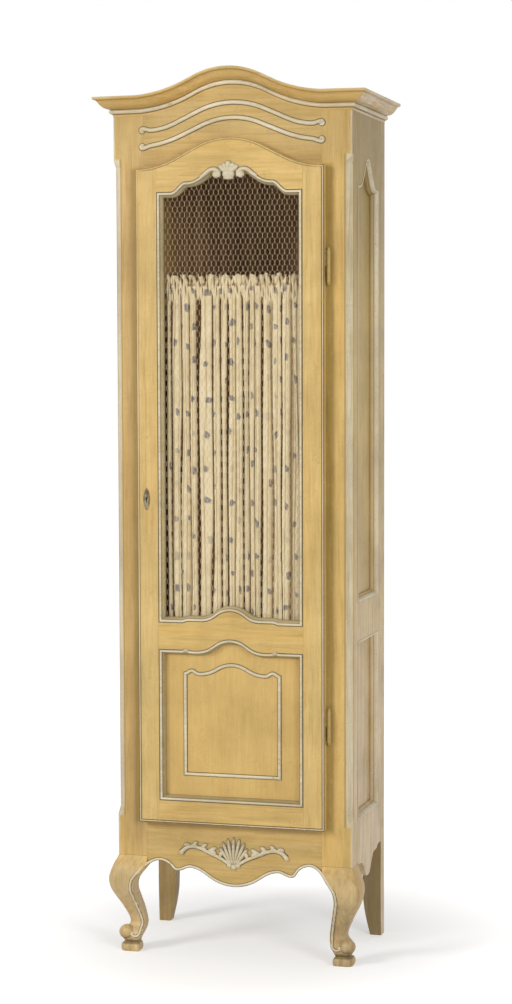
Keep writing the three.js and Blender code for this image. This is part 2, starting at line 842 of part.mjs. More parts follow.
const backReach = halfWidth - rearPostWidth + backRebate - seam;
const backFoot = floorBoardTop - shelfThickness - cleatHeight;
const backBoardWidth = (2 * backReach) / backBoardCount;
for (let index = 0; index < backBoardCount; index += 1) {
  const low = -backReach + index * backBoardWidth;
  const board = block(low, low + backBoardWidth - seam, backBoardFront,
    backBoardFront + backBoardThickness, backFoot, topBoardFoot - seam);
  place(cabinet, `back_board_${index + 1}`, board, 'darkWood');
}
const backRailReach = halfWidth - rearPostWidth - seam;
place(cabinet, 'back_bottom_rail', block(-backRailReach, backRailReach,
  backBoardFront - seam - backRailThickness, backBoardFront - seam, backRailFoot,
  floorBoardTop - shelfThickness - seam), 'ochrePaint');

// Cornice: one profile carried along the arched front and back along both sides

const beadRadius = beadSize / 2;
const beadNose = spread(-Math.PI / 2, Math.PI / 2, 5).map((angle) => {
  return [beadRadius + beadRadius * Math.cos(angle), beadRadius + beadRadius * Math.sin(angle)];
});
const ovolo = spread(0, Math.PI / 2, 4).map((angle) => {
  return [beadSize + (ovoloReach - beadSize) * Math.sin(angle),
    ovoloHeight - (ovoloHeight - beadSize) * Math.cos(angle)];
});
const cavetto = spread(0, Math.PI / 2, 3).slice(1).map((angle) => {
  return [cavettoReach - (cavettoReach - ovoloReach) * Math.cos(angle),
    ovoloHeight + (filletFoot - ovoloHeight) * Math.sin(angle)];
});
const corniceProfile = [
  [seam, 0], ...beadNose, ...ovolo, ...cavetto, [corniceReach, filletFoot],
  [corniceReach, corniceHeight], [seam, corniceHeight],
];

function corniceFront() {
  const stations = spread(-archHalfRun, archHalfRun, corniceSteps);
  const ring = (across, mitre) => corniceProfile.map(([reach, up]) => {
    return new THREE.Vector3(across + mitre * (reach - seam), frontY - reach,
      corniceFoot + up + corniceArch(across));
  });
  return loft([ring(-halfWidth, -1), ...stations.map((across) => ring(across, 0)),
    ring(halfWidth, 1)]);
}

function corniceSide() {
  const front = corniceProfile.map(([reach, up]) => {
    return new THREE.Vector3(halfWidth + reach, frontY - reach + seam, corniceFoot + up);
  });
  const rear = corniceProfile.map(([reach, up]) => {
    return new THREE.Vector3(halfWidth + reach, backY, corniceFoot + up);
  });
  return loft([front, rear]);
}

place(cabinet, 'cornice_front', corniceFront(), 'ochrePaint');
const corniceReturn = corniceSide();
place(cabinet, 'cornice_right', corniceReturn, 'ochrePaint');
place(cabinet, 'cornice_left', mirrored(corniceReturn), 'ochrePaint');

// Scrolled half-round mouldings on the frieze, with a round eye at each end

function scrollMoulding(endHeight, arch, eyeSide) {
  const face = frontY - seam;
  const stations = spread(-scrollHalfRun, scrollHalfRun, scrollSteps);
  const half = scrollWidth / 2;
  const nudge = scrollWidth / 8;
  const rings = stations.map((across) => {
    const slope = (arch(across + nudge) - arch(across - nudge)) / (nudge * 2);
    const length = Math.hypot(1, slope);
    return spread(0, 1, 4).map((share) => {
      const angle = share * Math.PI;
      const offset = half * Math.cos(angle);
      return new THREE.Vector3(across - (offset * slope) / length,
        face - scrollDepth * Math.sin(angle), endHeight + arch(across) + offset / length);
    });
  });
  const eye = new THREE.CylinderGeometry(scrollEyeRadius * scrollEyeShare, scrollEyeRadius,
    scrollDepth, 14);
  const eyeHeight = endHeight + eyeSide * (scrollEyeRadius - half);
  const eyes = [-scrollHalfRun, scrollHalfRun].map((across) => {
    return eye.clone().translate(across, face - scrollDepth / 2, eyeHeight);
  });
  return join(loft(rings), ...eyes);
}

place(cabinet, 'frieze_scroll_upper', scrollMoulding(upperScrollEnd, upperScrollArch, -1),
  'creamPaint');
place(cabinet, 'frieze_scroll_lower', scrollMoulding(lowerScrollEnd, lowerScrollArch, 1),
  'creamPaint');

// Carved shell and leaf sprays on the apron

function shellBoard() {
  const { span, scallop, root, waist, flute } = shellShares;
  const rise = shellTop - shellFoot;
  const fan = Math.PI * span;
  const start = (Math.PI - fan) / 2;
  const widest = shellHalfWidth / Math.cos(start);
  const rim = spread(0, 1, shellLobes * shellSteps).map((share) => {
    const angle = start + fan * share;
    const lobe = 1 - Math.abs(Math.cos(share * shellLobes * Math.PI)) * scallop;
    const bulge = waist + (1 - waist) * Math.sin(angle) ** 4;
    return [widest * Math.cos(angle) * lobe * bulge,
      shellFoot + rise * (root + (1 - root) * Math.sin(angle)) * lobe];
  });
  const rear = frontY - seam;
  const board = frontBoard([[-shellKnot, shellFoot], [shellKnot, shellFoot], ...rim],
    rear - shellDepth, rear);
  const flutes = spread(1, shellLobes - 1, shellLobes - 2).map((lobe) => {
    const turn = start + (fan * lobe) / shellLobes - Math.PI / 2;
    const groove = new THREE.ConeGeometry(shellFlute, rise * flute, 4, 1);
    groove.translate(0, (-rise * flute) / 2, 0).rotateZ(Math.PI + turn).rotateX(Math.PI / 2);
    return groove.translate(0, rear - shellDepth, shellFoot + rise * root);
  });
  return cut(board, ...flutes);
}

// Leaf outline as shares of its reach and rise, from the shell outwards
const leafShares = [
  [0.04, 0.06], [0.3, 0.34], [0.52, 0.52], [0.72, 0.5], [0.86, 0.46], [0.93, 0.36], [1, 0.5],
  [0.97, 0.7], [0.88, 0.84], [0.82, 0.74], [0.76, 1], [0.68, 0.78], [0.6, 0.95], [0.55, 0.72],
  [0.46, 0.86], [0.44, 0.66], [0.3, 0.56], [0.1, 0.26],
];

function leafSpray() {
  const points = leafShares.map(([reachShare, riseShare]) => {
    return [leafReach * reachShare, shellFoot + leafRise * riseShare];
  });
  return frontBoard(points, frontY - seam - leafDepth, frontY - seam);
}

const leafShape = leafSpray();
place(cabinet, 'apron_carving', join(shellBoard(), leafShape, mirrored(leafShape)),
  'creamPaint');

// Door frame: two stiles under the arched top, and shaped top, middle and bottom rails

const railReach = stileInner - seam;

function doorStile() {
  const stations = spread(doorHalfWidth, stileInner, stileHeadSteps);
  const upper = stations.map((across) => [across, doorTop(across)]);
  return frontBoard([[stileInner, doorFoot], [doorHalfWidth, doorFoot], ...upper],
    doorFrontY, doorBackY);
}

function doorRail(lowAt, highAt, steps) {
  const stations = spread(-railReach, railReach, steps);
  const lower = stations.map((across) => [across, lowAt(across)]);
  const upper = [...stations].reverse().map((across) => [across, highAt(across)]);
  return frontBoard([...lower, ...upper], doorFrontY, doorBackY);
}

const stileShape = doorStile();
const lockStile = cut(mirrored(stileShape), keyholeCutter());
place(doorGroup, 'door_stile_hinge', cut(stileShape, ...hingeHeights.map(doorLeafMortise)),
  'ochrePaint');
place(doorGroup, 'door_stile_lock', lockStile, 'ochrePaint');
place(doorGroup, 'door_top_rail', doorRail(openingTop, doorTop, openingSteps), 'ochrePaint');
place(doorGroup, 'door_middle_rail', doorRail(panelTop, openingSill, openingSteps), 'ochrePaint');
place(doorGroup, 'door_bottom_rail', doorRail(() => doorFoot, () => panelFoot, 1), 'ochrePaint');

function keyholeCutter() {
  const deep = doorThickness + overrun;
  const round = new THREE.CylinderGeometry(keyholeRadius, keyholeRadius, deep * 2, 12);
  round.translate(-escutcheonOffset, doorFrontY, lockHeight + keyholeLength / 4);
  const slot = block(-escutcheonOffset - keyholeSlot / 2, -escutcheonOffset + keyholeSlot / 2,
    doorFrontY - deep, doorFrontY + deep, lockHeight - (keyholeLength * 3) / 4,
    lockHeight + keyholeLength / 4);
  return join(round, slot);
}

function doorLeafMortise(height) {
  const inset = postLeafLength + seam;
  return block(doorHalfWidth - inset, doorHalfWidth + overrun, hingeY - leafThickness / 2 - seam,
    hingeY + leafThickness / 2 + seam, height - seam, height + hingeLength / 2 + seam);
}

// Sunk lower panel with its rim and the raised cream frame

function openingOutline(reach, footAt, headAt, steps) {
  return (inset) => {
    const along = spread(-reach + inset, reach - inset, steps);
    const lower = along.map((across) => [across, footAt(across) + inset + seam]);
    const upper = [...along].reverse().map((across) => [across, headAt(across) - inset - seam]);
    return [...lower, ...upper];
  };
}

const rimReach = stileInner - seam * 2;

function doorPanel() {
  const at = openingOutline(rimReach, () => panelFoot, panelTop, openingSteps);
  return frontBoard(at(0), panelFaceY, panelFaceY + doorPanelThickness);
}

function panelRim() {
  const outlineAt = openingOutline(rimReach, () => panelFoot, panelTop, openingSteps);
  return frameLoft(outlineAt, rimProfile(doorFrontY, panelFaceY - seam, rimProud), frontPoint);
}

function openingRim() {
  const outlineAt = openingOutline(rimReach, openingSill, openingTop, openingSteps);
  const profile = rimProfile(doorFrontY, meshFaceY - seam, rimProud);
  return frameLoft(outlineAt, profile, frontPoint);
}

function frontPoint(across, up, depth) {
  return new THREE.Vector3(across, depth, up);
}

function cartouche() {
  const outlineAt = (inset) => {
    const reach = cartoucheHalfWidth - inset;
    const upper = spread(reach, -reach, cartoucheSteps).map((across) => {
      return [across, cartoucheTop(across) - inset];
    });
    return [[-reach, cartoucheFoot + inset], [reach, cartoucheFoot + inset], ...upper];
  };
  const seat = panelFaceY - seam;
  const half = cartoucheWidth / 2;
  const profile = spread(0, Math.PI, 5).map((angle) => {
    return [half - half * Math.cos(angle), seat - cartoucheDepth * Math.sin(angle)];
  });
  return frameLoft(outlineAt, profile, frontPoint);
}

place(doorGroup, 'door_panel', doorPanel(), 'ochrePaint');
place(doorGroup, 'panel_rim', panelRim(), 'creamPaint');
place(doorGroup, 'panel_frame', cartouche(), 'creamPaint');

// Carved crest between two volutes, in one piece with the rim over the opening
const crestShares = [
  [-0.85, 0], [0.85, 0], [0.78, 0.3], [0.66, 0.52], [1, 0.72], [0.86, 0.86], [0.5, 0.8],
  [0.34, 1], [-0.34, 1], [-0.5, 0.8], [-0.86, 0.86], [-1, 0.72], [-0.66, 0.52], [-0.78, 0.3],
];

function crestPieces() {
  const points = crestShares.map(([acrossShare, riseShare]) => {
    return [crestHalfWidth * acrossShare, crestFoot + (crestTop - crestFoot) * riseShare];
  });
  const rear = doorFrontY - seam;
  const volutes = [-voluteReach, voluteReach].map((across) => {
    const volute = new THREE.CylinderGeometry(voluteRadius, voluteRadius, voluteDepth, 16);
    return volute.translate(across, rear - voluteDepth / 2, voluteHeight);
  });
  return [frontBoard(points, rear - crestDepth, rear), ...volutes];
}

place(doorGroup, 'opening_rim', join(openingRim(), ...crestPieces()), 'creamPaint');

// Hexagonal wire net behind the opening rim

function wireNet() {
  const at = openingOutline(rimReach, openingSill, openingTop, openingSteps);
  const rowRise = (meshPitch * Math.sqrt(3)) / 2;
  const radius = (meshPitch - meshWire) / Math.sqrt(3);
  const rows = Math.ceil((openingTop(0) - openingFoot) / rowRise);
  const columns = Math.ceil(rimReach / meshPitch);
  const cells = [];
  for (let row = 0; row <= rows; row += 1) {
    for (let column = -columns; column <= columns; column += 1) {
      const cell = new THREE.CylinderGeometry(radius, radius, meshThickness + overrun, 6);
      cells.push(solidOf(cell.translate((column + (row % 2) / 2) * meshPitch,
        meshFaceY + meshThickness / 2, openingFoot + row * rowRise)));
    }
  }
  const clip = frontBoard(at(meshSelvedge), meshFaceY - overrun, meshFaceY + overrun);
  const gaps = solidOf(clip).intersect(wasm.Manifold.union(cells));
  const clear = gaps.decompose().filter((gap) => gap.volume() > meshGapLeast);
  const sheet = solidOf(frontBoard(at(0), meshFaceY, meshFaceY + meshThickness));
  return geometryOf(clear.reduce((net, gap) => net.subtract(gap), sheet));
}

place(doorGroup, 'wire_net', wireNet(), 'wire');

// Gathered curtain on two rods behind the net

function rodBetween(radius, reach, height, sides = 12) {
  const rod = new THREE.CylinderGeometry(radius, radius, reach * 2, sides);
  return rod.rotateZ(Math.PI / 2).translate(0, rodY, height);
}

// Each row of the curtain is a height, its share of the fold depth and its thickness
function curtain() {
  const pocket = rodRadius + pocketClearance;
  const swell = 2 * (pocket + pocketWall);
  const pinch = pocket + pocketWall;
  const drop = pinch * curtainDropShare;
  const rows = [
    [lowerRodHeight - pinch, pocketFold, swell], [lowerRodHeight + pinch, pocketFold, swell],
    [lowerRodHeight + pinch * 2, pinchFold, curtainCloth], [lowerRodHeight + drop, 1, curtainCloth],
    [rodHeight - drop, 1, curtainCloth], [rodHeight - pinch * 2, pinchFold, curtainCloth],
    [rodHeight - pinch, pocketFold, swell], [rodHeight + pinch, pocketFold, swell],
    [rodHeight + pinch * 2, pinchFold, curtainCloth], [curtainTop, headerFold, curtainCloth],
  ];
  const rings = rows.map(([height, foldShare, thickness]) => {
    const width = curtainHalfWidth - headerGather * foldShare;
    const depth = curtainFoldDepth * foldShare;
    const point = (share, side) => {
      const turn = share * 2 * Math.PI;
      const wave = Math.cos(turn * curtainFolds) + Math.sin(turn * 2 + height) * driftShare;
      return new THREE.Vector3(-width + 2 * width * share,
        rodY + wave * depth + (side * thickness) / 2, height);
    };
    const along = spread(0, 1, curtainFolds * foldSteps);
    return [...along.map((share) => point(share, -1)),
      ...[...along].reverse().map((share) => point(share, 1))];
  });
  const reach = curtainHalfWidth + overrun;
  return cut(loft(rings), rodBetween(pocket, reach, rodHeight, 8),
    rodBetween(pocket, reach, lowerRodHeight, 8));
}

// A rod with a foot at each end that stands on the back of a stile
function curtainRod(height) {
  const half = bracketWidth / 2;
  const tall = bracketHeight / 2;
  const feet = [-bracketInset, bracketInset].map((across) => block(across - half,
    across + half, doorBackY + seam, rodY + rodRadius, height - tall, height + tall));
  return join(rodBetween(rodRadius, bracketInset, height), ...feet);
}

place(doorGroup, 'curtain', curtain(), 'cloth');
place(doorGroup, 'curtain_rod_upper', curtainRod(rodHeight), 'brass');
place(doorGroup, 'curtain_rod_lower', curtainRod(lowerRodHeight), 'brass');

// Barrel hinges: a lower knuckle with its pin on the post and an upper knuckle on the door

function pinKnuckle(height) {
  const low = height - hingeLength / 2;
  const knuckle = uprightCylinder(knuckleRadius, low, height, hingeReach, hingeY);
  const pin = uprightCylinder(pinRadius, height - overrun, height + hingeLength / 2 - overrun,
    hingeReach, hingeY);
  const finial = new THREE.SphereGeometry(finialRadius, 12, 6);
  finial.translate(hingeReach, hingeY, low - finialRadius / 2);
  const leafHalf = postLeafLength / 2;
  const centre = height - hingeLength / 4;
  const plate = block(hingeReach - leafThickness / 2, hingeReach + leafThickness / 2, hingeY,
    frontY + postLeafLength, centre - leafHalf, centre + leafHalf);
  return join(knuckle, pin, finial, plate);
}

function doorKnuckle(height) {
  const low = height + seam;
  const high = height + hingeLength / 2;
  const knuckle = uprightCylinder(knuckleRadius, low, high, hingeReach, hingeY);
  const plate = block(doorHalfWidth - postLeafLength, hingeReach, hingeY - leafThickness / 2,
    hingeY + leafThickness / 2, low, high - seam);
  const cap = new THREE.SphereGeometry(finialRadius, 12, 6);
  cap.translate(hingeReach, hingeY, high + finialRadius / 2);
  const bore = uprightCylinder(pinRadius + pinClearance, height - overrun,
    high - overrun + pinClearance, hingeReach, hingeY);
  return cut(join(knuckle, plate, cap), bore);
}

['lower', 'upper'].forEach((name, index) => {
  place(cabinet, `hinge_pin_${name}`, pinKnuckle(hingeHeights[index]), 'brass');
  place(doorGroup, `hinge_knuckle_${name}`, doorKnuckle(hingeHeights[index]), 'brass');
});

// Rim lock on the back of the lock stile, its bolt, the strike and the key plate

function lockCase() {
  const outer = -postInner + lockInset;
  const front = doorBackY + seam;
  const body = block(outer, outer + lockWidth, front, front + lockThickness,
    lockHeight - lockLength / 2, lockHeight + lockLength / 2);
  const channel = block(outer - overrun, outer + boltLength + boltThrow,
    lockY - boltThickness / 2 - boltClearance, lockY + boltThickness / 2 + boltClearance,
    lockHeight - boltHeight / 2 - boltClearance, lockHeight + boltHeight / 2 + boltClearance);
  const keyway = new THREE.CylinderGeometry(keyholeRadius, keyholeRadius, lockThickness, 12);
  keyway.translate(-escutcheonOffset, front, lockHeight + keyholeLength / 4);
  return cut(body, channel, keyway);
}

function boltBar() {
  const outer = -postInner + lockInset;
  return block(outer, outer + boltLength, lockY - boltThickness / 2, lockY + boltThickness / 2,
    lockHeight - boltHeight / 2, lockHeight + boltHeight / 2);
}

function strikePlate() {
  const outer = -postInner - strikeThickness;
  const plate = block(outer, -postInner, lockY - strikeWidth / 2, lockY + strikeWidth / 2,
    lockHeight - strikeHeight / 2, lockHeight + strikeHeight / 2);
  return cut(plate, boltMortise());
}

function keyPlate() {
  const shape = new THREE.Shape();
  shape.absellipse(0, 0, escutcheonWidth / 2, escutcheonHeight / 2, 0, 2 * Math.PI);
  const plate = new THREE.ExtrudeGeometry(shape, {
    depth: escutcheonThickness, bevelEnabled: false, curveSegments: 12,
  });
  plate.applyMatrix4(toFront);
  plate.translate(-escutcheonOffset, doorFrontY - seam, lockHeight);
  return cut(plate, keyholeCutter());
}

place(doorGroup, 'lock_case', lockCase(), 'brass');
place(doorGroup, 'lock_bolt', boltBar(), 'brass');
place(cabinet, 'strike_plate', strikePlate(), 'brass');
place(doorGroup, 'key_plate', keyPlate(), 'brass');

export default cabinet;
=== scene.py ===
import math

import bmesh
import bpy
from mathutils import Matrix, Vector


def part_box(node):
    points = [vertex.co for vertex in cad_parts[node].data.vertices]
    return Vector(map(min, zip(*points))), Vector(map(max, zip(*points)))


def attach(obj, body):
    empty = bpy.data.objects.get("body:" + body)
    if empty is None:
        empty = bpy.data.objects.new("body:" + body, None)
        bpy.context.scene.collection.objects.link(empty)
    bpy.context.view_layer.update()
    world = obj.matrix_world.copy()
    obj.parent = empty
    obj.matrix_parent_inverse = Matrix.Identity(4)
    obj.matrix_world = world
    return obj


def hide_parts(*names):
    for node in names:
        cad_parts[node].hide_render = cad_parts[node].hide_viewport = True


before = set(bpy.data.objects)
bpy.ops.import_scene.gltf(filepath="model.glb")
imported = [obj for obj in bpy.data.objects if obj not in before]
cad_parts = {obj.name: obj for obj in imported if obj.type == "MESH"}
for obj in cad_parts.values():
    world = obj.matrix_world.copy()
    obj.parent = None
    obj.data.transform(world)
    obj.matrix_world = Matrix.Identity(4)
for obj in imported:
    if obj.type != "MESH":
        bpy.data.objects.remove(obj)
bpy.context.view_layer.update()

# The looks of a painted bonnetiere. Metres, +Z up, front towards -Y, as in the CAD frame.

# Places read from the frame
case_low, case_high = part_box("top_board")
half_width = case_high.x
front_y = case_low.y
back_y = case_high.y
door_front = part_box("door_stile_lock")[0].y
door_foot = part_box("door_bottom_rail")[0].z
door_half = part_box("door_stile_hinge")[1].x
stile_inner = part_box("door_stile_hinge")[0].x
net_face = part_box("wire_net")[0].y
panel_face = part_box("door_panel")[0].y
rod_z = (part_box("curtain_rod_upper")[0].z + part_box("curtain_rod_upper")[1].z) / 2
rod_y = (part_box("curtain")[0].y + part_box("curtain")[1].y) / 2
side_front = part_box("side_upper_moulding_right")[0].y
side_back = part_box("side_upper_moulding_right")[1].y
side_middle = (side_front + side_back) / 2

# Driving sizes. The mouldings lie up to 8 mm off the edges of the rails that they cover, as on the old door.
seam = 0.0003
cornice_foot = 2.112
chamfer_size = 0.018
chamfer_head = 2.002
chamfer_foot = 0.350
post_width = 0.077
post_depth = 0.056
leg_height = 0.250
opening_foot = 0.848
opening_shoulder = 1.917
panel_foot = 0.399
panel_shoulder = 0.782
door_shoulder = 1.974
apron_low = 0.185
apron_rise = 0.0425
apron_cusp = 0.149
apron_cusp_drop = 0.0105
side_arch_foot = 1.930
side_rail_low = 0.807
side_rail_high = 0.901
floor_top = 0.356


def hat(half_run, rise, crown_share, slope_share):
    """Height of a hat-shaped arch over its ends: round crown, straight slope, round shoulder."""
    target = rise / half_run
    half = target
    for _ in range(12):
        fold = 1 - half * half
        value = (1 - slope_share) * half + 2 * slope_share * half / fold - target
        half -= value / (1 - slope_share + 2 * slope_share * (1 + half * half) / fold ** 2)
    angle = 2 * math.atan(half)
    crown_run = crown_share * half_run
    slope_end = crown_run + slope_share * half_run
    crown_radius = crown_run / math.sin(angle)
    shoulder_radius = (half_run - slope_end) / math.sin(angle)

    def height(across):
        reach = min(abs(across), half_run)
        if reach <= crown_run:
            return rise - crown_radius + math.sqrt(crown_radius ** 2 - reach ** 2)
        if reach <= slope_end:
            drop = crown_radius * (1 - math.cos(angle))
            return rise - drop - (reach - crown_run) * math.tan(angle)
        return shoulder_radius - math.sqrt(shoulder_radius ** 2 - (half_run - reach) ** 2)

    return height


def clamp(value):
    return min(max(value, 0), 1)


def ease(value):
    """Rises from 0 to 1 with a soft start and a soft end."""
    share = clamp(value)
    return share * share * (3 - 2 * share)


def step(across, start, run, rise):
    """Height of a soft step that starts at a distance from the middle and rises towards it."""
    return rise * ease((start - abs(across)) / run)


# Arches: half their run, their rise, and the shares of the round crown and of the straight slope
cornice_arch = hat(0.257, 0.0645, 0.334, 0.09)
door_arch = hat(door_half, 0.073, 0.34, 0.24)
upper_scroll_arch = hat(0.214, 0.060, 0.398, 0.278)
lower_scroll_arch = hat(0.239, 0.0617, 0.306, 0.245)
opening_hat = hat(0.110, 0.0515, 0.22, 0.48)
sill_hat = hat(0.076, 0.0275, 0.42, 0.1)
panel_hat = hat(0.088, 0.031, 0.45, 0.1)
cartouche_hat = hat(0.084, 0.025, 0.4, 0.14)
cartouche_ear = hat(0.020, 0.008, 0.4, 0)
apron_hat = hat(0.121, apron_rise, 0.49, 0.16)
apron_crown = hat(0.047, 0.0275, 0.8, 0)
side_arch = hat(0.092, 0.072, 0.28, 0.34)

# Steps: where they start from the middle, their run and their rise
opening_step = (0.149, 0.036, 0.0245)
sill_step = (0.124, 0.014, 0.004)
panel_step = (0.112, 0.014, 0.001)

opening_crown_limit = 1.9710
panel_ear_x = 0.117
panel_ear_reach = 0.008
panel_ear_rise = 0.0035
cartouche_shoulder = 0.724
cartouche_ear_x = 0.105
apron_cusp_run = 0.036
outer_arch_x = 0.196
left_arch_share = 0.88
right_arch_share = 1.1


def opening_top(x):
    return min(opening_shoulder + step(x, *opening_step) + opening_hat(x), opening_crown_limit)


def opening_sill(x):
    return opening_foot + step(x, *sill_step) + sill_hat(x)


def panel_top(x):
    ear = panel_ear_rise * max(0, 1 - abs(abs(x) - panel_ear_x) / panel_ear_reach)
    return panel_shoulder - step(x, *panel_step) + panel_hat(x) + ear


def cartouche_top(x):
    return cartouche_shoulder + cartouche_hat(x) + cartouche_ear(abs(x) - cartouche_ear_x)


def side_top(y):
    return side_arch_foot + side_arch(y - side_middle)


def apron_edge(x):
    """Height of the apron's lower edge: a broad arch in the middle, a cusp, and a small arch on each side."""
    reach = abs(x)
    if reach <= apron_cusp:
        drop = step(reach - apron_cusp, apron_cusp_run, apron_cusp_run, apron_cusp_drop)
        return apron_low + apron_rise - apron_hat(reach) - drop
    carved = right_arch_share if x > 0 else left_arch_share
    return apron_low + apron_rise - apron_cusp_drop + carved * apron_crown(reach - outer_arch_x)


def spread(low, high, count):
    """Evenly spaced values from low to high, in a number of parts."""
    return [low + (high - low) * index / count for index in range(count + 1)]


# Shader node helpers


def srgb(red, green, blue):
    def linear(value):
        share = value / 255
        return share / 12.92 if share <= 0.04045 else ((share + 0.055) / 1.055) ** 2.4

    return (linear(red), linear(green), linear(blue), 1)


class Nodes:
    """Adds nodes to a tree and links them by socket."""

    def __init__(self, tree):
        self.tree = tree

    def feed(self, node, inputs):
        """Sets or links the named inputs of a node."""
        for name, value in inputs.items():
            if isinstance(value, bpy.types.NodeSocket):
                self.tree.links.new(value, node.inputs[name])
            else:
                node.inputs[name].default_value = value

    def add(self, kind, inputs=None, **settings):
        node = self.tree.nodes.new(kind)
        for name, value in settings.items():
            setattr(node, name, value)
        self.feed(node, inputs or {})
        return node

    def math(self, operation, first, second=0.0):
        return self.add("ShaderNodeMath", {0: first, 1: second}, operation=operation).outputs[0]

    def chain(self, operation, first, *others):
        for other in others:
            first = self.math(operation, first, other)
        return first

    def times(self, *values):
        return self.chain("MULTIPLY", *values)

    def plus(self, *values):
        return self.chain("ADD", *values)

    def most(self, *values):
        return self.chain("MAXIMUM", *values)

    def minus(self, first, second):
        return self.math("SUBTRACT", first, second)

    def unsigned(self, value):
        return self.math("ABSOLUTE", value)

    def mix(self, share, first, second, blend="MIX"):
        """Mixes two colours."""
        return self.add("ShaderNodeMix", {0: share, 6: first, 7: second}, data_type="RGBA",
                        blend_type=blend).outputs[2]

    def ramp(self, value, low, high, bottom=0.0, top=1.0):
        """Goes softly from the bottom to the top while the value goes from low to high."""
        return self.add("ShaderNodeMapRange", {0: value, 1: low, 2: high, 3: bottom, 4: top},
                        interpolation_type="SMOOTHSTEP", clamp=True).outputs[0]

    def noise(self, vector, scale, detail=4.0, rough=0.6):
        return self.add("ShaderNodeTexNoise", {
            "Vector": vector, "Scale": scale, "Detail": detail, "Roughness": rough,
        }).outputs["Fac"]

    def stretch(self, vector, scale):
        return self.add("ShaderNodeVectorMath", {0: vector, 1: scale}, operation="MULTIPLY").outputs[0]

    def streaks(self, vector, stretch, scale, detail, rough=0.6):
        return self.noise(self.stretch(vector, stretch), scale, detail, rough)

    def split(self, vector):
        return self.add("ShaderNodeSeparateXYZ", {0: vector}).outputs

    def place(self):
        return self.add("ShaderNodeTexCoord").outputs["Object"]

    def attribute(self, name):
        return self.add("ShaderNodeAttribute", attribute_name=name).outputs["Fac"]


def clear_nodes(owner):
    """Empties the node tree of a material or a world."""
    owner.use_nodes = True
    owner.node_tree.nodes.clear()
    return Nodes(owner.node_tree)


def new_group(name, inputs, outputs):
    """An empty shader node group, its node helper, its input values and its output node."""
    group = bpy.data.node_groups.new(name, "ShaderNodeTree")
    for label, kind, value in inputs:
        socket = group.interface.new_socket(label, in_out="INPUT", socket_type=f"NodeSocket{kind}")
        socket.default_value = value
    for label, kind in outputs:
        group.interface.new_socket(label, in_out="OUTPUT", socket_type=f"NodeSocket{kind}")
    nodes = Nodes(group)
    return group, nodes, nodes.add("NodeGroupInput").outputs, nodes.add("NodeGroupOutput")


surface_outputs = (("Color", "Color"), ("Roughness", "Float"), ("Height", "Float"))

# Sizes of patterns, as cells or waves to the metre
cloud_scale = 5.5
patch_scale = 26
crack_scale = 95
speck_scale = 60
rubbed_scale = 70
weave_scale = 420

# Layers of brush marks: place, scale, share of the streaks' stretch, range of the noise, strength and tint
brush_layers = (
    ((0, 0, 0), 1.3, 0.22, (0.44, 0.64), 0.8, (1.01, 0.95, 0.84, 1)),
    ((31, 17, 5), 1.6, 0.3, (0.46, 0.64), 0.8, (0.89, 0.89, 0.85, 1)),
    ((7, 43, 11), 1.5, 0.7, (0.47, 0.64), 0.9, (1.10, 1.11, 1.18, 1)),
    ((53, 3, 29), 1.7, 0.8, (0.49, 0.66), 0.9, (0.87, 0.85, 0.78, 1)),
)
grain_tint = (1.12, 1.12, 1.14, 1)


def make_paint_group():
    """Old brushed paint: cloudy tone, brush streaks along one direction, fine cracks, glaze and specks."""
    group, nodes, given, result = new_group("antique_paint", (
        ("Vector", "Vector", (0, 0, 0)),
        ("Streak", "Vector", (90, 90, 5)),
        ("Paint", "Color", (0.7, 0.5, 0.2, 1)),
        ("Glaze", "Color", (0.3, 0.2, 0.08, 1)),
        ("Cloud", "Float", 0.35),
        ("Cracks", "Float", 0.4),
        ("Glaze Mask", "Float", 0.0),
        ("Brush", "Float", 1.0),
    ), surface_outputs)
    vector = given["Vector"]
    cloud = nodes.noise(vector, cloud_scale, 5)
    patch = nodes.noise(vector, patch_scale, 5, 0.65)
    streak = nodes.streaks(vector, given["Streak"], 3.2, 5)
    grain = nodes.streaks(vector, given["Streak"], 11, 3)
    cells = nodes.add("ShaderNodeTexVoronoi", {"Vector": vector, "Scale": crack_scale, "Randomness": 1},
                      feature="DISTANCE_TO_EDGE").outputs["Distance"]
    crack = nodes.times(nodes.ramp(cells, 0.0, 0.07, 1, 0), nodes.ramp(patch, 0.46, 0.62), given["Cracks"])
    spots = nodes.add("ShaderNodeTexVoronoi", {"Vector": vector, "Scale": speck_scale, "Randomness": 1})
    speck = nodes.times(nodes.ramp(spots.outputs["Distance"], 0.05, 0.09, 1, 0),
                        nodes.ramp(cloud, 0.5, 0.62))
    tone = nodes.times(nodes.ramp(cloud, 0.3, 0.72), given["Cloud"])
    fine = nodes.times(nodes.ramp(streak, 0.42, 0.75), 0.32, given["Cloud"])
    wet = nodes.mix(nodes.plus(tone, fine), given["Paint"], given["Glaze"])
    for shift, scale, stretch_share, limits, strength, tint in brush_layers:
        brushed = nodes.stretch(vector, nodes.stretch(given["Streak"], (stretch_share,) * 3))
        moved = nodes.add("ShaderNodeVectorMath", {0: brushed, 1: shift}, operation="ADD").outputs[0]
        mask = nodes.times(nodes.ramp(nodes.noise(moved, scale, 4, 0.62), *limits),
                           nodes.times(strength, given["Brush"]))
        wet = nodes.mix(mask, wet, nodes.mix(1.0, wet, tint, "MULTIPLY"))
    light = nodes.times(nodes.ramp(grain, 0.5, 0.76), 0.3)
    wet = nodes.mix(light, wet, nodes.mix(1.0, wet, grain_tint, "MULTIPLY"))
    marked = nodes.most(nodes.times(crack, 0.55), nodes.times(speck, 0.4), given["Glaze Mask"])
    nodes.feed(result, {
        "Color": nodes.mix(marked, wet, given["Glaze"]),
        "Roughness": nodes.plus(nodes.times(patch, 0.25), 0.36),
        "Height": nodes.minus(nodes.times(streak, 0.45), crack),
    })
    return group


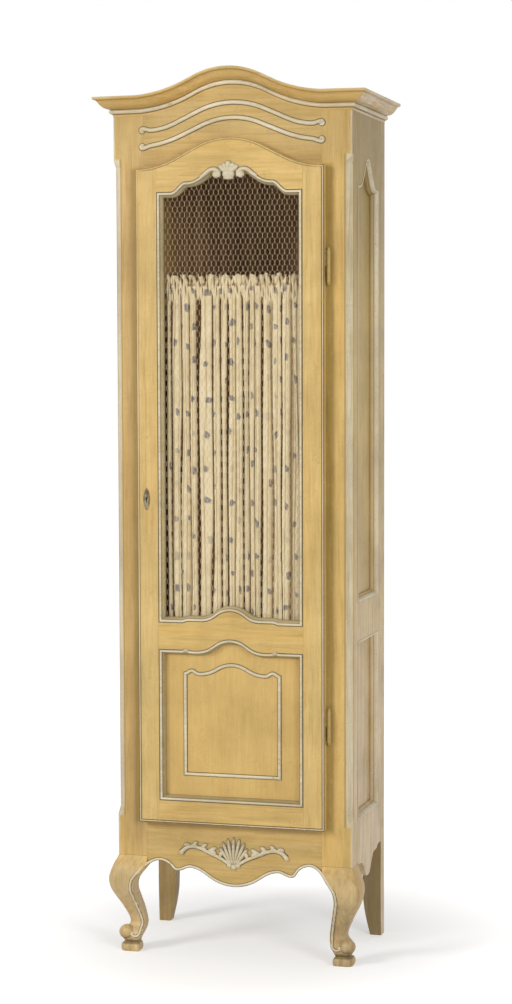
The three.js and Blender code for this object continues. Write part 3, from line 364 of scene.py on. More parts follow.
def make_bare_group():
    """Stained boards: long dark grain with a few pores."""
    group, nodes, given, result = new_group("bare_boards", (
        ("Vector", "Vector", (0, 0, 0)),
        ("Light", "Color", (0.1, 0.06, 0.03, 1)),
        ("Dark", "Color", (0.03, 0.02, 0.01, 1)),
    ), surface_outputs)
    long_way = nodes.stretch(given["Vector"], (95, 95, 1.6))
    grain = nodes.noise(long_way, 2.4, 6)
    pores = nodes.noise(long_way, 9, 3)
    share = nodes.plus(nodes.ramp(grain, 0.35, 0.68), nodes.times(pores, 0.25))
    nodes.feed(result, {
        "Color": nodes.mix(share, given["Light"], given["Dark"]),
        "Roughness": nodes.plus(nodes.times(pores, 0.2), 0.5),
        "Height": nodes.times(grain, -1.0),
    })
    return group


paint_group = make_paint_group()
board_group = make_bare_group()

ochre = srgb(217, 182, 111)
ochre_glaze = srgb(150, 120, 62)
side_ochre = srgb(208, 181, 118)
side_glaze = srgb(140, 116, 70)
side_wash = srgb(232, 209, 182)
# Painted shade under the cornice
under_cornice_shade_olive = srgb(152, 128, 64)
return_wash = srgb(232, 216, 192)
leg_glaze = srgb(168, 145, 106)
leg_paint = srgb(230, 200, 144)
# Browner paint of the left post, with painted shadow of the door
post_brown_and_door_shadow = srgb(184, 152, 102)
cream = srgb(228, 216, 186)
cream_glaze = srgb(128, 112, 82)
# Glaze lines in grooves, and painted shade along a few edges and creases
line_glaze_and_shade = srgb(92, 78, 50)
# Painted shadow of the door on the posts beside its edges
door_shadow_olive = srgb(166, 140, 70)
frieze_ochre = srgb(203, 172, 108)
trim_ochre = srgb(196, 176, 122)
# Painted shade on the fronts of the rear legs
rear_leg_shade_grey = srgb(144, 126, 92)
brass_stain = srgb(52, 36, 20)
# Patina in grooves, and painted shade down the keyhole
brass_patina_and_keyhole_shade = srgb(24, 18, 11)
cotton_cream = srgb(247, 234, 199)
cotton_aged = srgb(215, 196, 153)
flower_grey = srgb(112, 111, 124)
leaf_olive = srgb(132, 132, 108)
# Painted shade in the curtain's folds and gathers
fold_shade_brown = srgb(122, 86, 50)

upright_streak = (90, 90, 5)
level_streak = (5, 90, 90)
deep_streak = (90, 5, 90)


def start_material(name, specular=0.4):
    material = bpy.data.materials.new(name)
    nodes = clear_nodes(material)
    shader = nodes.add("ShaderNodeBsdfPrincipled", {"Specular IOR Level": specular})
    nodes.add("ShaderNodeOutputMaterial", {"Surface": shader.outputs[0]})
    return material, nodes, shader


def finish_surface(nodes, shader, color, rough, height, strength, distance):
    """Feeds the shader its colour, its roughness and a bump."""
    bump = nodes.add("ShaderNodeBump", {"Strength": strength, "Distance": distance, "Height": height})
    nodes.feed(shader, {"Base Color": color, "Roughness": rough, "Normal": bump.outputs[0]})


def paint_material(name, paint, glaze, streak, cloud=0.35, cracks=0.45, mask=None, tints=(), lines=None,
                   brush=1.0):
    """Ochre paint that turns cream where the piece's tone attribute says so, with grooves darkened by glaze
    lines; on a few pieces the groove attribute also carries painted shade.

    mask, lines and the first entry of each tint are functions that give a share over the surface.
    """
    material, nodes, shader = start_material(name)
    place = nodes.place()
    rubbed = nodes.noise(place, rubbed_scale)
    cream_share = nodes.times(nodes.attribute("tone"), nodes.ramp(rubbed, 0.26, 0.4))
    if mask:
        cream_share = nodes.most(cream_share, mask(nodes, place, rubbed))
    base = paint
    for tint, tint_color in tints:
        base = nodes.mix(tint(nodes, place, rubbed), base, tint_color)
    coat = nodes.add("ShaderNodeGroup", {
        "Vector": place, "Streak": streak, "Cloud": cloud, "Cracks": cracks, "Brush": brush,
        "Paint": nodes.mix(cream_share, base, cream),
        "Glaze": nodes.mix(cream_share, glaze, cream_glaze),
    }, node_tree=paint_group)
    if lines:
        nodes.feed(coat, {"Glaze Mask": lines(nodes, place, rubbed)})
    dark = nodes.times(nodes.attribute("groove"), nodes.ramp(rubbed, 0.2, 0.45, 0.55, 1.0))
    finish_surface(nodes, shader, nodes.mix(dark, coat.outputs["Color"], line_glaze_and_shade),
                   coat.outputs["Roughness"], coat.outputs["Height"], 0.25, 0.0006)
    return material


sharp_corner = half_width - front_y
chamfer_start = sharp_corner - chamfer_size


def corner_places(nodes, place):
    """How far out towards the front corner a point lies, how far off the chamfer's middle, and its height."""
    across, deep, up = nodes.split(place)
    outward = nodes.unsigned(across)
    middle = nodes.minus(nodes.plus(outward, deep), half_width + front_y)
    return nodes.minus(outward, deep), nodes.unsigned(middle), up


def chamfer_height(nodes, up, full):
    """The full value between the foot and the head of the chamfers, and 0 past them."""
    return nodes.times(nodes.ramp(up, chamfer_head - 0.004, chamfer_head + 0.002, full, 0),
                       nodes.ramp(up, chamfer_foot - 0.004, chamfer_foot + 0.004))


def corner_mask(nodes, place, rubbed):
    """Cream on the chamfered corners of the posts, and a fine cream line on the sharp corner above them."""
    corner, offset, up = corner_places(nodes, place)
    chamfer = nodes.times(nodes.ramp(corner, chamfer_start - 0.004, chamfer_start - 0.0015),
                          nodes.ramp(offset, chamfer_size * 0.62, chamfer_size * 0.92, 1, 0.1),
                          chamfer_height(nodes, up, 1))
    line = nodes.times(nodes.ramp(corner, sharp_corner - 0.006, sharp_corner - 0.002), 0.8)
    streaks = nodes.streaks(place, (160, 160, 6), 2, 4)
    return nodes.times(nodes.most(chamfer, line), nodes.ramp(streaks, 0.25, 0.55, 0.5, 0.95),
                       nodes.ramp(rubbed, 0.2, 0.45, 0.7, 1))


def corner_lines(nodes, place, rubbed):
    """Thin glaze lines along both edges of the chamfers."""
    corner, offset, up = corner_places(nodes, place)
    off_edge = nodes.unsigned(nodes.minus(offset, chamfer_size))
    return nodes.times(nodes.ramp(corner, chamfer_start - 0.006, chamfer_start - 0.003),
                       nodes.ramp(off_edge, 0.0012, 0.0032, 1, 0), chamfer_height(nodes, up, 0.62))


def door_shadow_on_posts(nodes, place, rubbed):
    """Painted shadow of the proud door: olive on the posts beside the door's edges and under its foot."""
    across, _, up = nodes.split(place)
    return nodes.times(nodes.ramp(nodes.unsigned(across), door_half + 0.012, door_half + 0.024, 1, 0),
                       nodes.ramp(up, door_foot - 0.012, door_foot),
                       nodes.ramp(up, door_shoulder, door_shoulder + 0.01, 1, 0),
                       nodes.ramp(rubbed, 0.2, 0.5, 0.55, 0.85))


def left_post_shade(nodes, place, rubbed):
    """Browner paint over the whole left post, and painted shadow of the door that makes it strongest towards
    the door.
    """
    across, _, up = nodes.split(place)
    return nodes.times(nodes.ramp(across, -door_half, 0.012 - half_width, 0.8, 0.3),
                       nodes.ramp(across, -door_half, 0.02 - door_half, 1, 0),
                       nodes.ramp(up, 0.20, 0.34), nodes.ramp(up, door_shoulder, cornice_foot, 1, 0))


def post_head(nodes, place, rubbed):
    """The paint of the frieze goes on over the heads of the posts."""
    return nodes.ramp(nodes.split(place)[2], 1.93, 2.03, 0, 0.9)


def outer_face(nodes, place, rubbed):
    """The side faces of the case, apart from its front."""
    return nodes.ramp(nodes.unsigned(nodes.split(place)[0]), half_width - 0.0016, half_width - 0.0004)


def on_outer_face(tint):
    """Keeps a tint to the side faces of the case."""
    def kept(nodes, place, rubbed):
        return nodes.times(tint(nodes, place, rubbed), outer_face(nodes, place, rubbed))

    return kept


def side_fade(nodes, place, rubbed):
    """Pale wash that thickens towards the foot of the sides and along their rear stiles."""
    _, deep, up = nodes.split(place)
    low = nodes.ramp(up, 0.45, 1.35, 0.95, 0.08)
    rear = nodes.ramp(deep, back_y - 0.055, back_y - 0.02, 0, 0.45)
    streaks = nodes.streaks(place, (46, 46, 2.6), 1.8, 5)
    return nodes.times(nodes.most(low, rear), nodes.ramp(streaks, 0.36, 0.62, 0.25, 1))


def under_cornice_shade(nodes, place, rubbed):
    """Painted shade, olive, that deepens under the cornice."""
    return nodes.times(nodes.ramp(nodes.split(place)[2], 1.4, cornice_foot, 0, 1.0),
                       nodes.ramp(rubbed, 0.2, 0.5, 0.7, 1))


def return_fade(nodes, place, rubbed):
    """Pale wash on the side returns of the cornice."""
    across, deep, _ = nodes.split(place)
    mitre = half_width + front_y
    side = nodes.ramp(nodes.plus(nodes.unsigned(across), deep), mitre + 0.001, mitre + 0.004)
    streaks = nodes.streaks(place, (30, 4, 170), 2, 4)
    return nodes.times(side, nodes.ramp(streaks, 0.38, 0.60, 0.25, 1))


def leg_shade(nodes, place, rubbed):
    """Brown glaze that gathers towards the feet and in long streaks; the right leg is darker than the left.
    """
    across, _, up = nodes.split(place)
    streaks = nodes.streaks(place, (70, 70, 16), 1.3, 5, 0.65)
    return nodes.times(nodes.ramp(up, 0.06, 0.25, 1.0, 0.0), nodes.ramp(across, -0.1, 0.1, 0.8, 1.15),
                       nodes.ramp(streaks, 0.36, 0.66, 0.2, 0.85))


def leg_fade(nodes, place, rubbed):
    """Paler paint from the knee down."""
    return nodes.ramp(nodes.split(place)[2], 0.15, 0.25, 1, 0)


def rear_leg_shade(nodes, place, rubbed):
    """Painted shade: grey olive on the fronts of the rear legs, stronger on the right one, which stands in
    the shade of the case.
    """
    across, _, up = nodes.split(place)
    return nodes.times(nodes.ramp(across, -0.1, 0.1, 0.25, 0.9), nodes.ramp(up, 0.2, 0.4, 1, 0))


def board_material(name, light, dark):
    """Stained boards without paint."""
    material, nodes, shader = start_material(name, 0.25)
    boards = nodes.add("ShaderNodeGroup", {"Vector": nodes.place(), "Light": light, "Dark": dark},
                       node_tree=board_group).outputs
    finish_surface(nodes, shader, boards["Color"], boards["Roughness"], boards["Height"], 0.3, 0.0008)
    return material


def metal_material(name, metal, paint, paint_share, rough, stains=0.75):
    """Aged brass with remains of paint and dark streaks, darkest in its grooves: patina in their hollows, and
    painted shade down a keyhole.
    """
    material, nodes, shader = start_material(name, 0.5)
    place = nodes.place()
    cloud = nodes.noise(place, 90, 5)
    streaks = nodes.streaks(place, (400, 400, 60), 1, 4)
    groove = nodes.attribute("groove")
    painted = nodes.ramp(cloud, 0.7 - paint_share * 0.5, 0.78 - paint_share * 0.5)
    color = nodes.mix(painted, metal, paint)
    color = nodes.mix(nodes.ramp(streaks, 0.55, 0.7, 0, stains), color, brass_stain)
    color = nodes.mix(groove, color, brass_patina_and_keyhole_shade)
    nodes.feed(shader, {"Metallic": nodes.minus(1.0, nodes.most(painted, groove))})
    finish_surface(nodes, shader, color, nodes.plus(nodes.times(cloud, 0.3), rough), cloud, 0.2, 0.0004)
    return material


case_side_tints = ((outer_face, side_ochre), (on_outer_face(under_cornice_shade), under_cornice_shade_olive),
                   (on_outer_face(side_fade), side_wash))

ochre_front = paint_material("ochre_front", srgb(217, 186, 120), ochre_glaze, upright_streak)
ochre_panel = paint_material("ochre_panel", ochre, ochre_glaze, upright_streak, brush=0.4)
ochre_level = paint_material("ochre_level", ochre, ochre_glaze, level_streak)
ochre_cornice = paint_material("ochre_cornice", srgb(212, 176, 108), ochre_glaze, level_streak,
                               tints=((return_fade, return_wash),))
ochre_posts = paint_material("ochre_posts", ochre, ochre_glaze, upright_streak,
                             mask=corner_mask, lines=corner_lines,
                             tints=((left_post_shade, post_brown_and_door_shadow), (post_head, frieze_ochre),
                                    (door_shadow_on_posts, door_shadow_olive), *case_side_tints))
ochre_legs = paint_material("ochre_legs", ochre, leg_glaze, upright_streak, 0.6, 0.95,
                            tints=((leg_fade, leg_paint), (leg_shade, leg_glaze)))
ochre_frieze = paint_material("ochre_frieze", frieze_ochre, ochre_glaze, level_streak, 0.4, 0.5)
ochre_side = paint_material("ochre_side", side_ochre, side_glaze, upright_streak, 0.4, 0.5,
                            tints=((under_cornice_shade, under_cornice_shade_olive), (side_fade, side_wash)), brush=0.5)
ochre_rear = paint_material("ochre_rear", srgb(196, 164, 106), side_glaze, upright_streak, 0.5, 0.5,
                            tints=((rear_leg_shade, rear_leg_shade_grey), *case_side_tints))
ochre_deep = paint_material("ochre_deep", ochre, ochre_glaze, deep_streak)
cream_trim = paint_material("cream_trim", trim_ochre, ochre_glaze, level_streak, 0.3, 0.25)
carving_trim = paint_material("carving_trim", trim_ochre, cream_glaze, level_streak, 0.55, 0.4)
edge_trim = paint_material("edge_trim", ochre, ochre_glaze, upright_streak, 0.3, 0.25)
inner_boards = paint_material("inner_boards", srgb(176, 156, 100), srgb(104, 84, 50), level_streak,
                              0.6, 0.2)
back_boards = board_material("back_boards", srgb(205, 164, 124), srgb(146, 110, 80))
old_brass = metal_material("old_brass", srgb(150, 128, 84), srgb(150, 124, 66), 0.35, 0.32)
# Hinges painted over, their paint darkened to the olive of the painted shadow beside the door
hinge_paint_in_shade = metal_material("hinge_paint_in_shade", srgb(126, 104, 56), srgb(176, 148, 84), 0.95, 0.42, 0.6)
lock_brass = metal_material("lock_brass", srgb(150, 138, 108), srgb(108, 84, 50), 0.4, 0.34)
net_wire = metal_material("net_wire", srgb(206, 184, 150), srgb(212, 190, 154), 1.0, 0.6, 0.15)

# The longest start that fits a node's name gives its look
node_looks = {
    "front_post": ochre_posts, "front_leg": ochre_legs, "rear_post": ochre_rear,
    "frieze_board": ochre_frieze, "front_apron": ochre_frieze, "apron": cream_trim,
    "side_": ochre_side, "cornice": ochre_level, "frieze_scroll": cream_trim,
    "top_board": ochre_deep, "floor_board": inner_boards, "shelf": inner_boards,
    "back_board": back_boards, "back_bottom": ochre_side, "door_stile": ochre_front,
    "door_panel": ochre_panel, "door_": ochre_level, "panel_": cream_trim,
    "opening_rim": cream_trim, "wire_net": net_wire, "curtain": old_brass,
    "hinge": hinge_paint_in_shade, "lock": lock_brass, "strike": lock_brass, "key": lock_brass,
}


def dress_nodes():
    for name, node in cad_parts.items():
        fits = [start for start in node_looks if name.startswith(start)]
        look = node_looks[max(fits, key=len)]
        if not node.data.materials:
            node.data.materials.append(look)
        for slot in node.material_slots:
            slot.material = look


dress_nodes()

# Mesh helpers


def add_object(name, data):
    thing = bpy.data.objects.new(name, data)
    bpy.context.scene.collection.objects.link(thing)
    return thing


def mesh_from(bm, name):
    mesh = bpy.data.meshes.new(name)
    bm.to_mesh(mesh)
    bm.free()
    return mesh


def finish_piece(name, bm, look, body, stands_for=(), sharp=35):
    """Closes a bmesh into an object that rides on a body."""
    bmesh.ops.recalc_face_normals(bm, faces=bm.faces)
    mesh = mesh_from(bm, name)
    mesh.shade_smooth()
    mesh.set_sharp_from_angle(angle=math.radians(sharp))
    mesh.materials.append(look)
    piece = add_object(name, mesh)
    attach(piece, body)
    if stands_for:
        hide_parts(*stands_for)


def point_layer(layers, name):
    return layers.get(name) or layers.new(name)


def paint_layers(bm):
    """The shares of cream and of glaze that the points of a mesh carry."""
    floats = bm.verts.layers.float
    return point_layer(floats, "tone"), point_layer(floats, "groove")


def start_row(bm, points):
    """A closed row of points and of the edges between them."""
    ring = [bm.verts.new(point) for point in points]
    return ring, [bm.edges.new((ring[index - 1], ring[index])) for index in range(len(ring))]


def grow(bm, edges):
    """Extrudes a row of edges, and gives the new points and the new row."""
    grown = bmesh.ops.extrude_edge_only(bm, edges=edges)["geom"]
    fresh = [item for item in grown if isinstance(item, bmesh.types.BMVert)]
    known = set(fresh)
    return fresh, [item for item in grown if isinstance(item, bmesh.types.BMEdge)
                   and item.verts[0] in known and item.verts[1] in known]


def cap(bm, *rows):
    for edges in rows:
        bmesh.ops.holes_fill(bm, edges=edges, sides=0)


def sweep(bm, profile, frames, closed=False):
    """Carries a closed outline of (across, out, tone, groove) points through a row of frames."""
    tone, groove = paint_layers(bm)
    ring, first = start_row(bm, [frames[0] @ Vector((point[0], point[1], 0)) for point in profile])
    for vertex, (_, _, cream_share, glaze_share) in zip(ring, profile):
        vertex[tone] = cream_share
        vertex[groove] = glaze_share
    edges = first
    for here, there in zip(frames, frames[1:]):
        fresh, edges = grow(bm, edges)
        bmesh.ops.transform(bm, matrix=there @ here.inverted(), verts=fresh)
    if closed:
        ends = dict.fromkeys(vertex for edge in first + edges for vertex in edge.verts)
        bmesh.ops.remove_doubles(bm, verts=list(ends), dist=0.00002)
    else:
        cap(bm, first, edges)


def plane_at(depth):
    """Flat plane facing the front: across to the right, up, and out towards the viewer."""
    return Matrix(((1, 0, 0, 0), (0, 0, -1, depth), (0, 1, 0, 0), (0, 0, 0, 1)))


def side_plane(side):
    """Flat plane facing sideways: along to the back, up, and out of the case."""
    return Matrix(((0, 0, side, side * half_width), (1, 0, 0, 0), (0, 1, 0, 0), (0, 0, 0, 1)))


def path_frames(points, plane, closed=False, widths=None):
    """Frames along a flat path; across points to the left of the way along it."""
    count = len(points)
    frames = []
    for index, (u, v) in enumerate(points):
        before = points[index - 1] if closed or index else None
        after = points[(index + 1) % count] if closed or index < count - 1 else None
        into = Vector((u - before[0], v - before[1])).normalized() if before else None
        onward = Vector((after[0] - u, after[1] - v)).normalized() if after else None
        into = into or onward
        onward = onward or into
        along = (into + onward).normalized()
        left = Vector((-along.y, along.x))
        mitre = 1 / max(0.4, left.dot(Vector((-into.y, into.x))))
        size = widths[index] if widths else 1
        local = Matrix((
            (left.x * mitre * size, 0, along.x, u), (left.y * mitre * size, 0, along.y, v),
            (0, size, 0, 0), (0, 0, 0, 1)))
        frames.append(plane @ local)
    if closed:
        frames.append(frames[0])
    return frames


def half_round(width, height, sides=6, rim=0.0012, foot=0.0004):
    """Profile of a cream bead with a glazed groove along each side."""
    half = width / 2
    arc = [(-half * math.cos(angle), height * math.sin(angle), 1, 0)
           for angle in spread(0, math.pi, sides)]
    arc[0] = (-half, 0.0, 0, 1)
    arc[-1] = (half, 0.0, 0, 1)
    return [(-half - rim, -foot, 0, 0), (-half - rim, 0.0002, 0, 0.8), *arc,
            (half + rim, 0.0002, 0, 0.8), (half + rim, -foot, 0, 0)]


def outline_path(reach, foot_at, head_at, steps, drop=0.0):
    """Closed outline, counterclockwise, of an opening with a shaped foot and head."""
    across = spread(-reach, reach, steps)
    lower = [(x, foot_at(x) + drop) for x in across]
    upper = [(x, head_at(x) - drop) for x in reversed(across)]
    return lower + upper


# Cornice: one run of moulding round three sides of the case. Each point of its profile: out, up, and its
# shares of cream and of glaze

cornice_arch_reach = 0.235
cornice_profile = [
    (0.0003, -0.0065, 0, 0), (0.0006, -0.0065, 0, 0), (0.0007, -0.0014, 0, 0), (0.0036, 0.0001, 0, 1),
    (0.0064, 0.0010, 1, 0), (0.0088, 0.0034, 1, 0), (0.0094, 0.0056, 1, 0), (0.0088, 0.0078, 1, 0),
    (0.0066, 0.0102, 1, 0), (0.0052, 0.0110, 0, 0.7), (0.0068, 0.0114, 0, 0.1), (0.0120, 0.0122, 0, 0),
    (0.0190, 0.0150, 0, 0), (0.0250, 0.0198, 0, 0), (0.0300, 0.0262, 0, 0), (0.0335, 0.0312, 0, 0.05),
    (0.0352, 0.0328, 0, 0.3), (0.0392, 0.0336, 0, 0), (0.0414, 0.0348, 0, 0), (0.0420, 0.0368, 0, 0),
    (0.0420, 0.0392, 0.3, 0), (0.0418, 0.0402, 0.9, 0), (0.0412, 0.0410, 0.9, 0), (0.0003, 0.0410, 0, 0),
]


def make_cornice():
    bm = bmesh.new()

    def station(x, y, out, lift):
        """A frame at a place, whose first axis goes out over the face, or over the mitre of a corner."""
        return Matrix(((out[0], 0, 0.5 if out[1] else 0, x), (out[1], 0, 0 if out[1] else 0.5, y),
                       (0, 1, 0, cornice_foot + lift), (0, 0, 0, 1)))

    frames = [station(-half_width, back_y, (-1, 0), 0), station(-half_width, front_y, (-1, -1), 0)]
    frames += [station(x, front_y, (0, -1), cornice_arch(x))
               for x in spread(-cornice_arch_reach, cornice_arch_reach, 64)]
    frames += [station(half_width, front_y, (1, -1), 0), station(half_width, back_y, (1, 0), 0)]
    sweep(bm, cornice_profile, frames)
    finish_piece("cornice", bm, ochre_cornice, "cabinet",
                 ("cornice_front", "cornice_left", "cornice_right"))


make_cornice()

# Frieze scrolls with curled ends

scroll_reach = 0.229
scroll_width = 0.010
scroll_depth = 0.0048
scroll_lean = 0.014
curl_radius = 0.0050
curl_run = 0.024
ball_lift = 0.001


def curl(centre, radius, start, turn, last_share, steps):
    """Points of a spiral that shrinks to a share of its radius."""
    points = []
    for share in spread(0, 1, steps):
        angle = start + turn * share
        reach = radius * (1 - (1 - last_share) * share)
        points.append((centre[0] + reach * math.cos(angle), centre[1] + reach * math.sin(angle)))
    return points


def make_scroll(name, node, foot, arch, side_up):
    """side_up is 1 where the ends curl upwards and -1 where they curl downwards."""
    body = []
    for x in spread(-scroll_reach, scroll_reach, 90):
        dip = side_up * curl_radius * ease((abs(x) - scroll_reach + curl_run) / curl_run)
        body.append((x, foot + arch(x) - dip))
    right = curl((scroll_reach, foot), curl_radius, -side_up * math.pi / 2, side_up * math.radians(270),
                 0.5, 20)[1:]
    left = [(-x, z) for x, z in reversed(right)]
    taper = spread(0.95, 0.72, len(right) - 1)
    widths = [*reversed(taper), *[1] * len(body), *taper]
    points = [(x, z + scroll_lean * x) for x, z in left + body + right]
    bm = bmesh.new()
    plane = plane_at(front_y - seam)
    sweep(bm, half_round(scroll_width, scroll_depth, 6, 0.0016), path_frames(points, plane, widths=widths))
    for side in (-1, 1):
        x = side * (scroll_reach - 0.001)
        add_ball(bm, plane, x, foot + scroll_lean * x, 0.0036, 0.0058)
    finish_piece(name, bm, cream_trim, "cabinet", (node,))


def add_dome(bm, place, radius, height, tone=1.0, groove=0.0, sides=12):
    """A flattened ball, out along the place's third axis."""
    tones, grooves = paint_layers(bm)
    scale = Matrix.Diagonal((radius, radius, height, 1))
    made = bmesh.ops.create_uvsphere(bm, u_segments=sides, v_segments=8, radius=1, matrix=place @ scale)
    for vertex in made["verts"]:
        vertex[tones] = tone
        vertex[grooves] = groove


def add_ball(bm, plane, x, z, radius, height, sides=12):
    """A dome that stands a little out of a flat face."""
    add_dome(bm, plane @ Matrix.Translation((x, z, ball_lift)), radius, height, sides=sides)


def add_lobe(bm, plane, root, angle, length, width, height, bend=0.0, root_share=0.4, glazed=0.5):
    """A drop-shaped lobe from its narrow root, bent sideways, dark where it meets the ground."""
    tones, grooves = paint_layers(bm)
    turned = Matrix.Rotation(math.radians(angle), 4, "Z")
    place = plane @ Matrix.Translation((root[0], root[1], 0)) @ turned
    made = bmesh.ops.create_uvsphere(bm, u_segments=14, v_segments=10, radius=1)["verts"]
    for vertex in made:
        along, across, up = vertex.co
        share = (along + 1) / 2
        swell = (root_share + (1 - root_share) * share ** 0.8) * (1 - 0.9 * along * along) ** -0.25
        turn = math.radians(bend) * share * share
        x = share * length
        y = across * width / 2 * swell
        vertex[grooves] = 0.9 * clamp(1 - up / glazed)
        vertex[tones] = 1
        vertex.co = place @ Vector((x * math.cos(turn) - y * math.sin(turn),
                                    x * math.sin(turn) + y * math.cos(turn), up * height))


make_scroll("upper_scroll_bead", "frieze_scroll_upper", 2.0733, upper_scroll_arch, -1)
make_scroll("lower_scroll_bead", "frieze_scroll_lower", 2.0344, lower_scroll_arch, 1)

# Mouldings of the door: edge bead, opening, lower panel and its raised frame. Each point of a profile:
# across, out, and its shares of cream and of glaze

opening_profile = [
    (0.0, -0.0197, 0, 0), (0.0, 0.0002, 0, 1), (0.0018, 0.0006, 0, 0.9), (0.0026, 0.0016, 1, 0.1),
    (0.0044, 0.0026, 1, 0), (0.0064, 0.0022, 1, 0), (0.0076, 0.0006, 1, 0.15), (0.0082, -0.0010, 0.3, 0.9),
    (0.0092, -0.0030, 0.55, 0.15), (0.0112, -0.0080, 0.5, 0.05), (0.0128, -0.0135, 0.45, 0.2),
    (0.0140, -0.0180, 0.3, 0.7), (0.0140, -0.0197, 0, 0),
]
# The same moulding, cut off at the panel's face, with a duller inner slope
panel_profile_foot = -0.0157
panel_profile = [(across, max(out, panel_profile_foot), tone * (0.5 if across > 0.008 else 1),
                  max(groove, 0.3 * (across > 0.009))) for across, out, tone, groove in opening_profile[:-1]]
side_profile = [
    (0.0, -0.0197, 0, 0), (0.0, 0.0002, 0, 0.3), (0.0010, 0.0010, 0.5, 0.15), (0.0024, 0.0016, 1, 0),
    (0.0050, 0.0012, 1, 0), (0.0070, -0.0010, 1, 0), (0.0084, -0.0050, 1, 0), (0.0090, -0.0076, 0.9, 0.1),
    (0.0096, -0.0086, 0, 0.6), (0.0112, -0.0112, 0, 0.05), (0.0128, -0.0148, 0, 0.15),
    (0.0140, -0.0180, 0, 0.55), (0.0140, -0.0197, 0, 0),
]


def make_moulding(name, points, plane, profile, look, body, stands_for, dress=None):
    """dress gives the shares of cream and of glaze that a point of the moulding keeps."""
    bm = bmesh.new()
    sweep(bm, profile, path_frames(points, plane, closed=True), closed=True)
    if dress:
        tone, groove = paint_layers(bm)
        for vertex in bm.verts:
            cream_kept, glaze_kept = dress(vertex.co)
            vertex[tone] *= cream_kept
            vertex[groove] *= glaze_kept
    finish_piece(name, bm, look, body, stands_for)


def behind_crest(point):
    """Hardly any cream or glaze where the crest covers the moulding."""
    return (0.05, 0.1) if point.z > 1.950 and abs(point.x) < 0.052 else (1, 1)


rim_reach = stile_inner - 2 * seam
door_plane = plane_at(door_front)
make_moulding("opening_moulding", outline_path(rim_reach, opening_sill, opening_top, 88, seam),
              door_plane, opening_profile, cream_trim, "door", ("opening_rim",), behind_crest)
make_moulding("panel_moulding", outline_path(rim_reach, lambda x: panel_foot, panel_top, 88, seam),
              door_plane, panel_profile, cream_trim, "door", ("panel_rim",))


cartouche_reach = 0.122
cartouche_foot = 0.467
cartouche_drop = 0.004
make_moulding("panel_raised_frame",
              outline_path(cartouche_reach, lambda x: cartouche_foot,
                           lambda x: cartouche_top(x) - cartouche_drop, 80),
              plane_at(panel_face - seam), half_round(0.008, 0.0052), cream_trim, "door", ("panel_frame",))

knot_x = 0.1150
knot_drop = 0.0048


def make_panel_ears():
    """Carved knots where the shaped head of the lower panel leaves its straight ends."""
    bm = bmesh.new()
    for side in (-1, 1):
        spot = Matrix.Translation((side * knot_x, panel_top(knot_x) - knot_drop, ball_lift))
        add_dome(bm, door_plane @ spot @ Matrix.Diagonal((1.3, 1, 1, 1)), 0.0056, 0.0038, 0.7, 0.25)
    finish_piece("panel_ears", bm, carving_trim, "door", (), sharp=80)


make_panel_ears()

door_lip = 0.003


def door_outline():
    across = spread(-door_half + door_lip, door_half - door_lip, 60)
    head = [(x, door_shoulder + door_arch(x) - door_lip) for x in reversed(across)]
    return [(across[0], door_foot + door_lip), (across[-1], door_foot + door_lip), *head]


def door_edge_shade(point):
    """Painted shade on the lip: a dark line down the right side and along the foot, which face away from the
    light, and a faint olive line along the arch, with hardly any on the left side. The lip is brightest down
    the right side.
    """
    if point.x > door_half - 0.008 or point.z < door_foot + 0.008:
        return 0.8, 1
    if point.z > door_shoulder - 0.004:
        return 0.1, 0.6
    return 0.6, 0.15


make_moulding("door_edge_bead", door_outline(), door_plane, half_round(0.0030, 0.0010, 4, 0.0022),
              edge_trim, "door", (), door_edge_shade)

# Side mouldings


def make_side_mouldings():
    for side, label in ((1, "right"), (-1, "left")):
        for level, foot, head in (("upper", side_rail_high, side_top),
                                  ("lower", floor_top, lambda y: side_rail_low)):
            along = spread(side_front, side_back, 48)
            points = [(along[0], foot + seam), (along[-1], foot + seam)]
            points += [(y, head(y) - seam) for y in reversed(along)]
            name = f"side_{level}_moulding_{label}"
            make_moulding(f"side_{level}_bead_{label}", points, side_plane(side), side_profile,
                          ochre_side, "cabinet", (name,))


make_side_mouldings()

# Front legs: cabriole, with a scroll toe on a pad. Each row: height in leg heights, then the outward swing
# and the inner reach in post widths

leg_rows = [
    (1, 0, 1), (0.96, 0.06, 1), (0.912, 0.16, 0.975), (0.856, 0.25, 0.86), (0.8, 0.305, 0.71),
    (0.756, 0.32, 0.62), (0.704, 0.305, 0.575), (0.64, 0.24, 0.575), (0.564, 0.115, 0.63),
    (0.488, -0.025, 0.69), (0.416, -0.135, 0.745), (0.36, -0.22, 0.785), (0.312, -0.265, 0.815),
    (0.284, -0.27, 0.82), (0.256, -0.225, 0.81), (0.224, -0.13, 0.785), (0.188, -0.06, 0.735),
    (0.152, -0.035, 0.68), (0.124, -0.06, 0.635), (0.1, -0.115, 0.61), (0.086, -0.13, 0.6),
    (0.078, -0.05, 0.635), (0.056, -0.012, 0.665), (0.024, -0.01, 0.665), (0, -0.04, 0.64),
]


def curve_through(points, parts):
    """Points on a smooth curve through the given ones, with a number of parts between each two."""
    padded = [points[0], *points, points[-1]]
    found = []
    for before, here, there, after in zip(padded, padded[1:], padded[2:], padded[3:]):
        for part in range(parts):
            share = part / parts
            found.append(tuple(
                0.5 * (2 * b + (c - a) * share + (2 * a - 5 * b + 4 * c - d) * share ** 2
                       + (3 * b - a - 3 * c + d) * share ** 3)
                for a, b, c, d in zip(before, here, there, after)))
    return [*found, tuple(points[-1])]


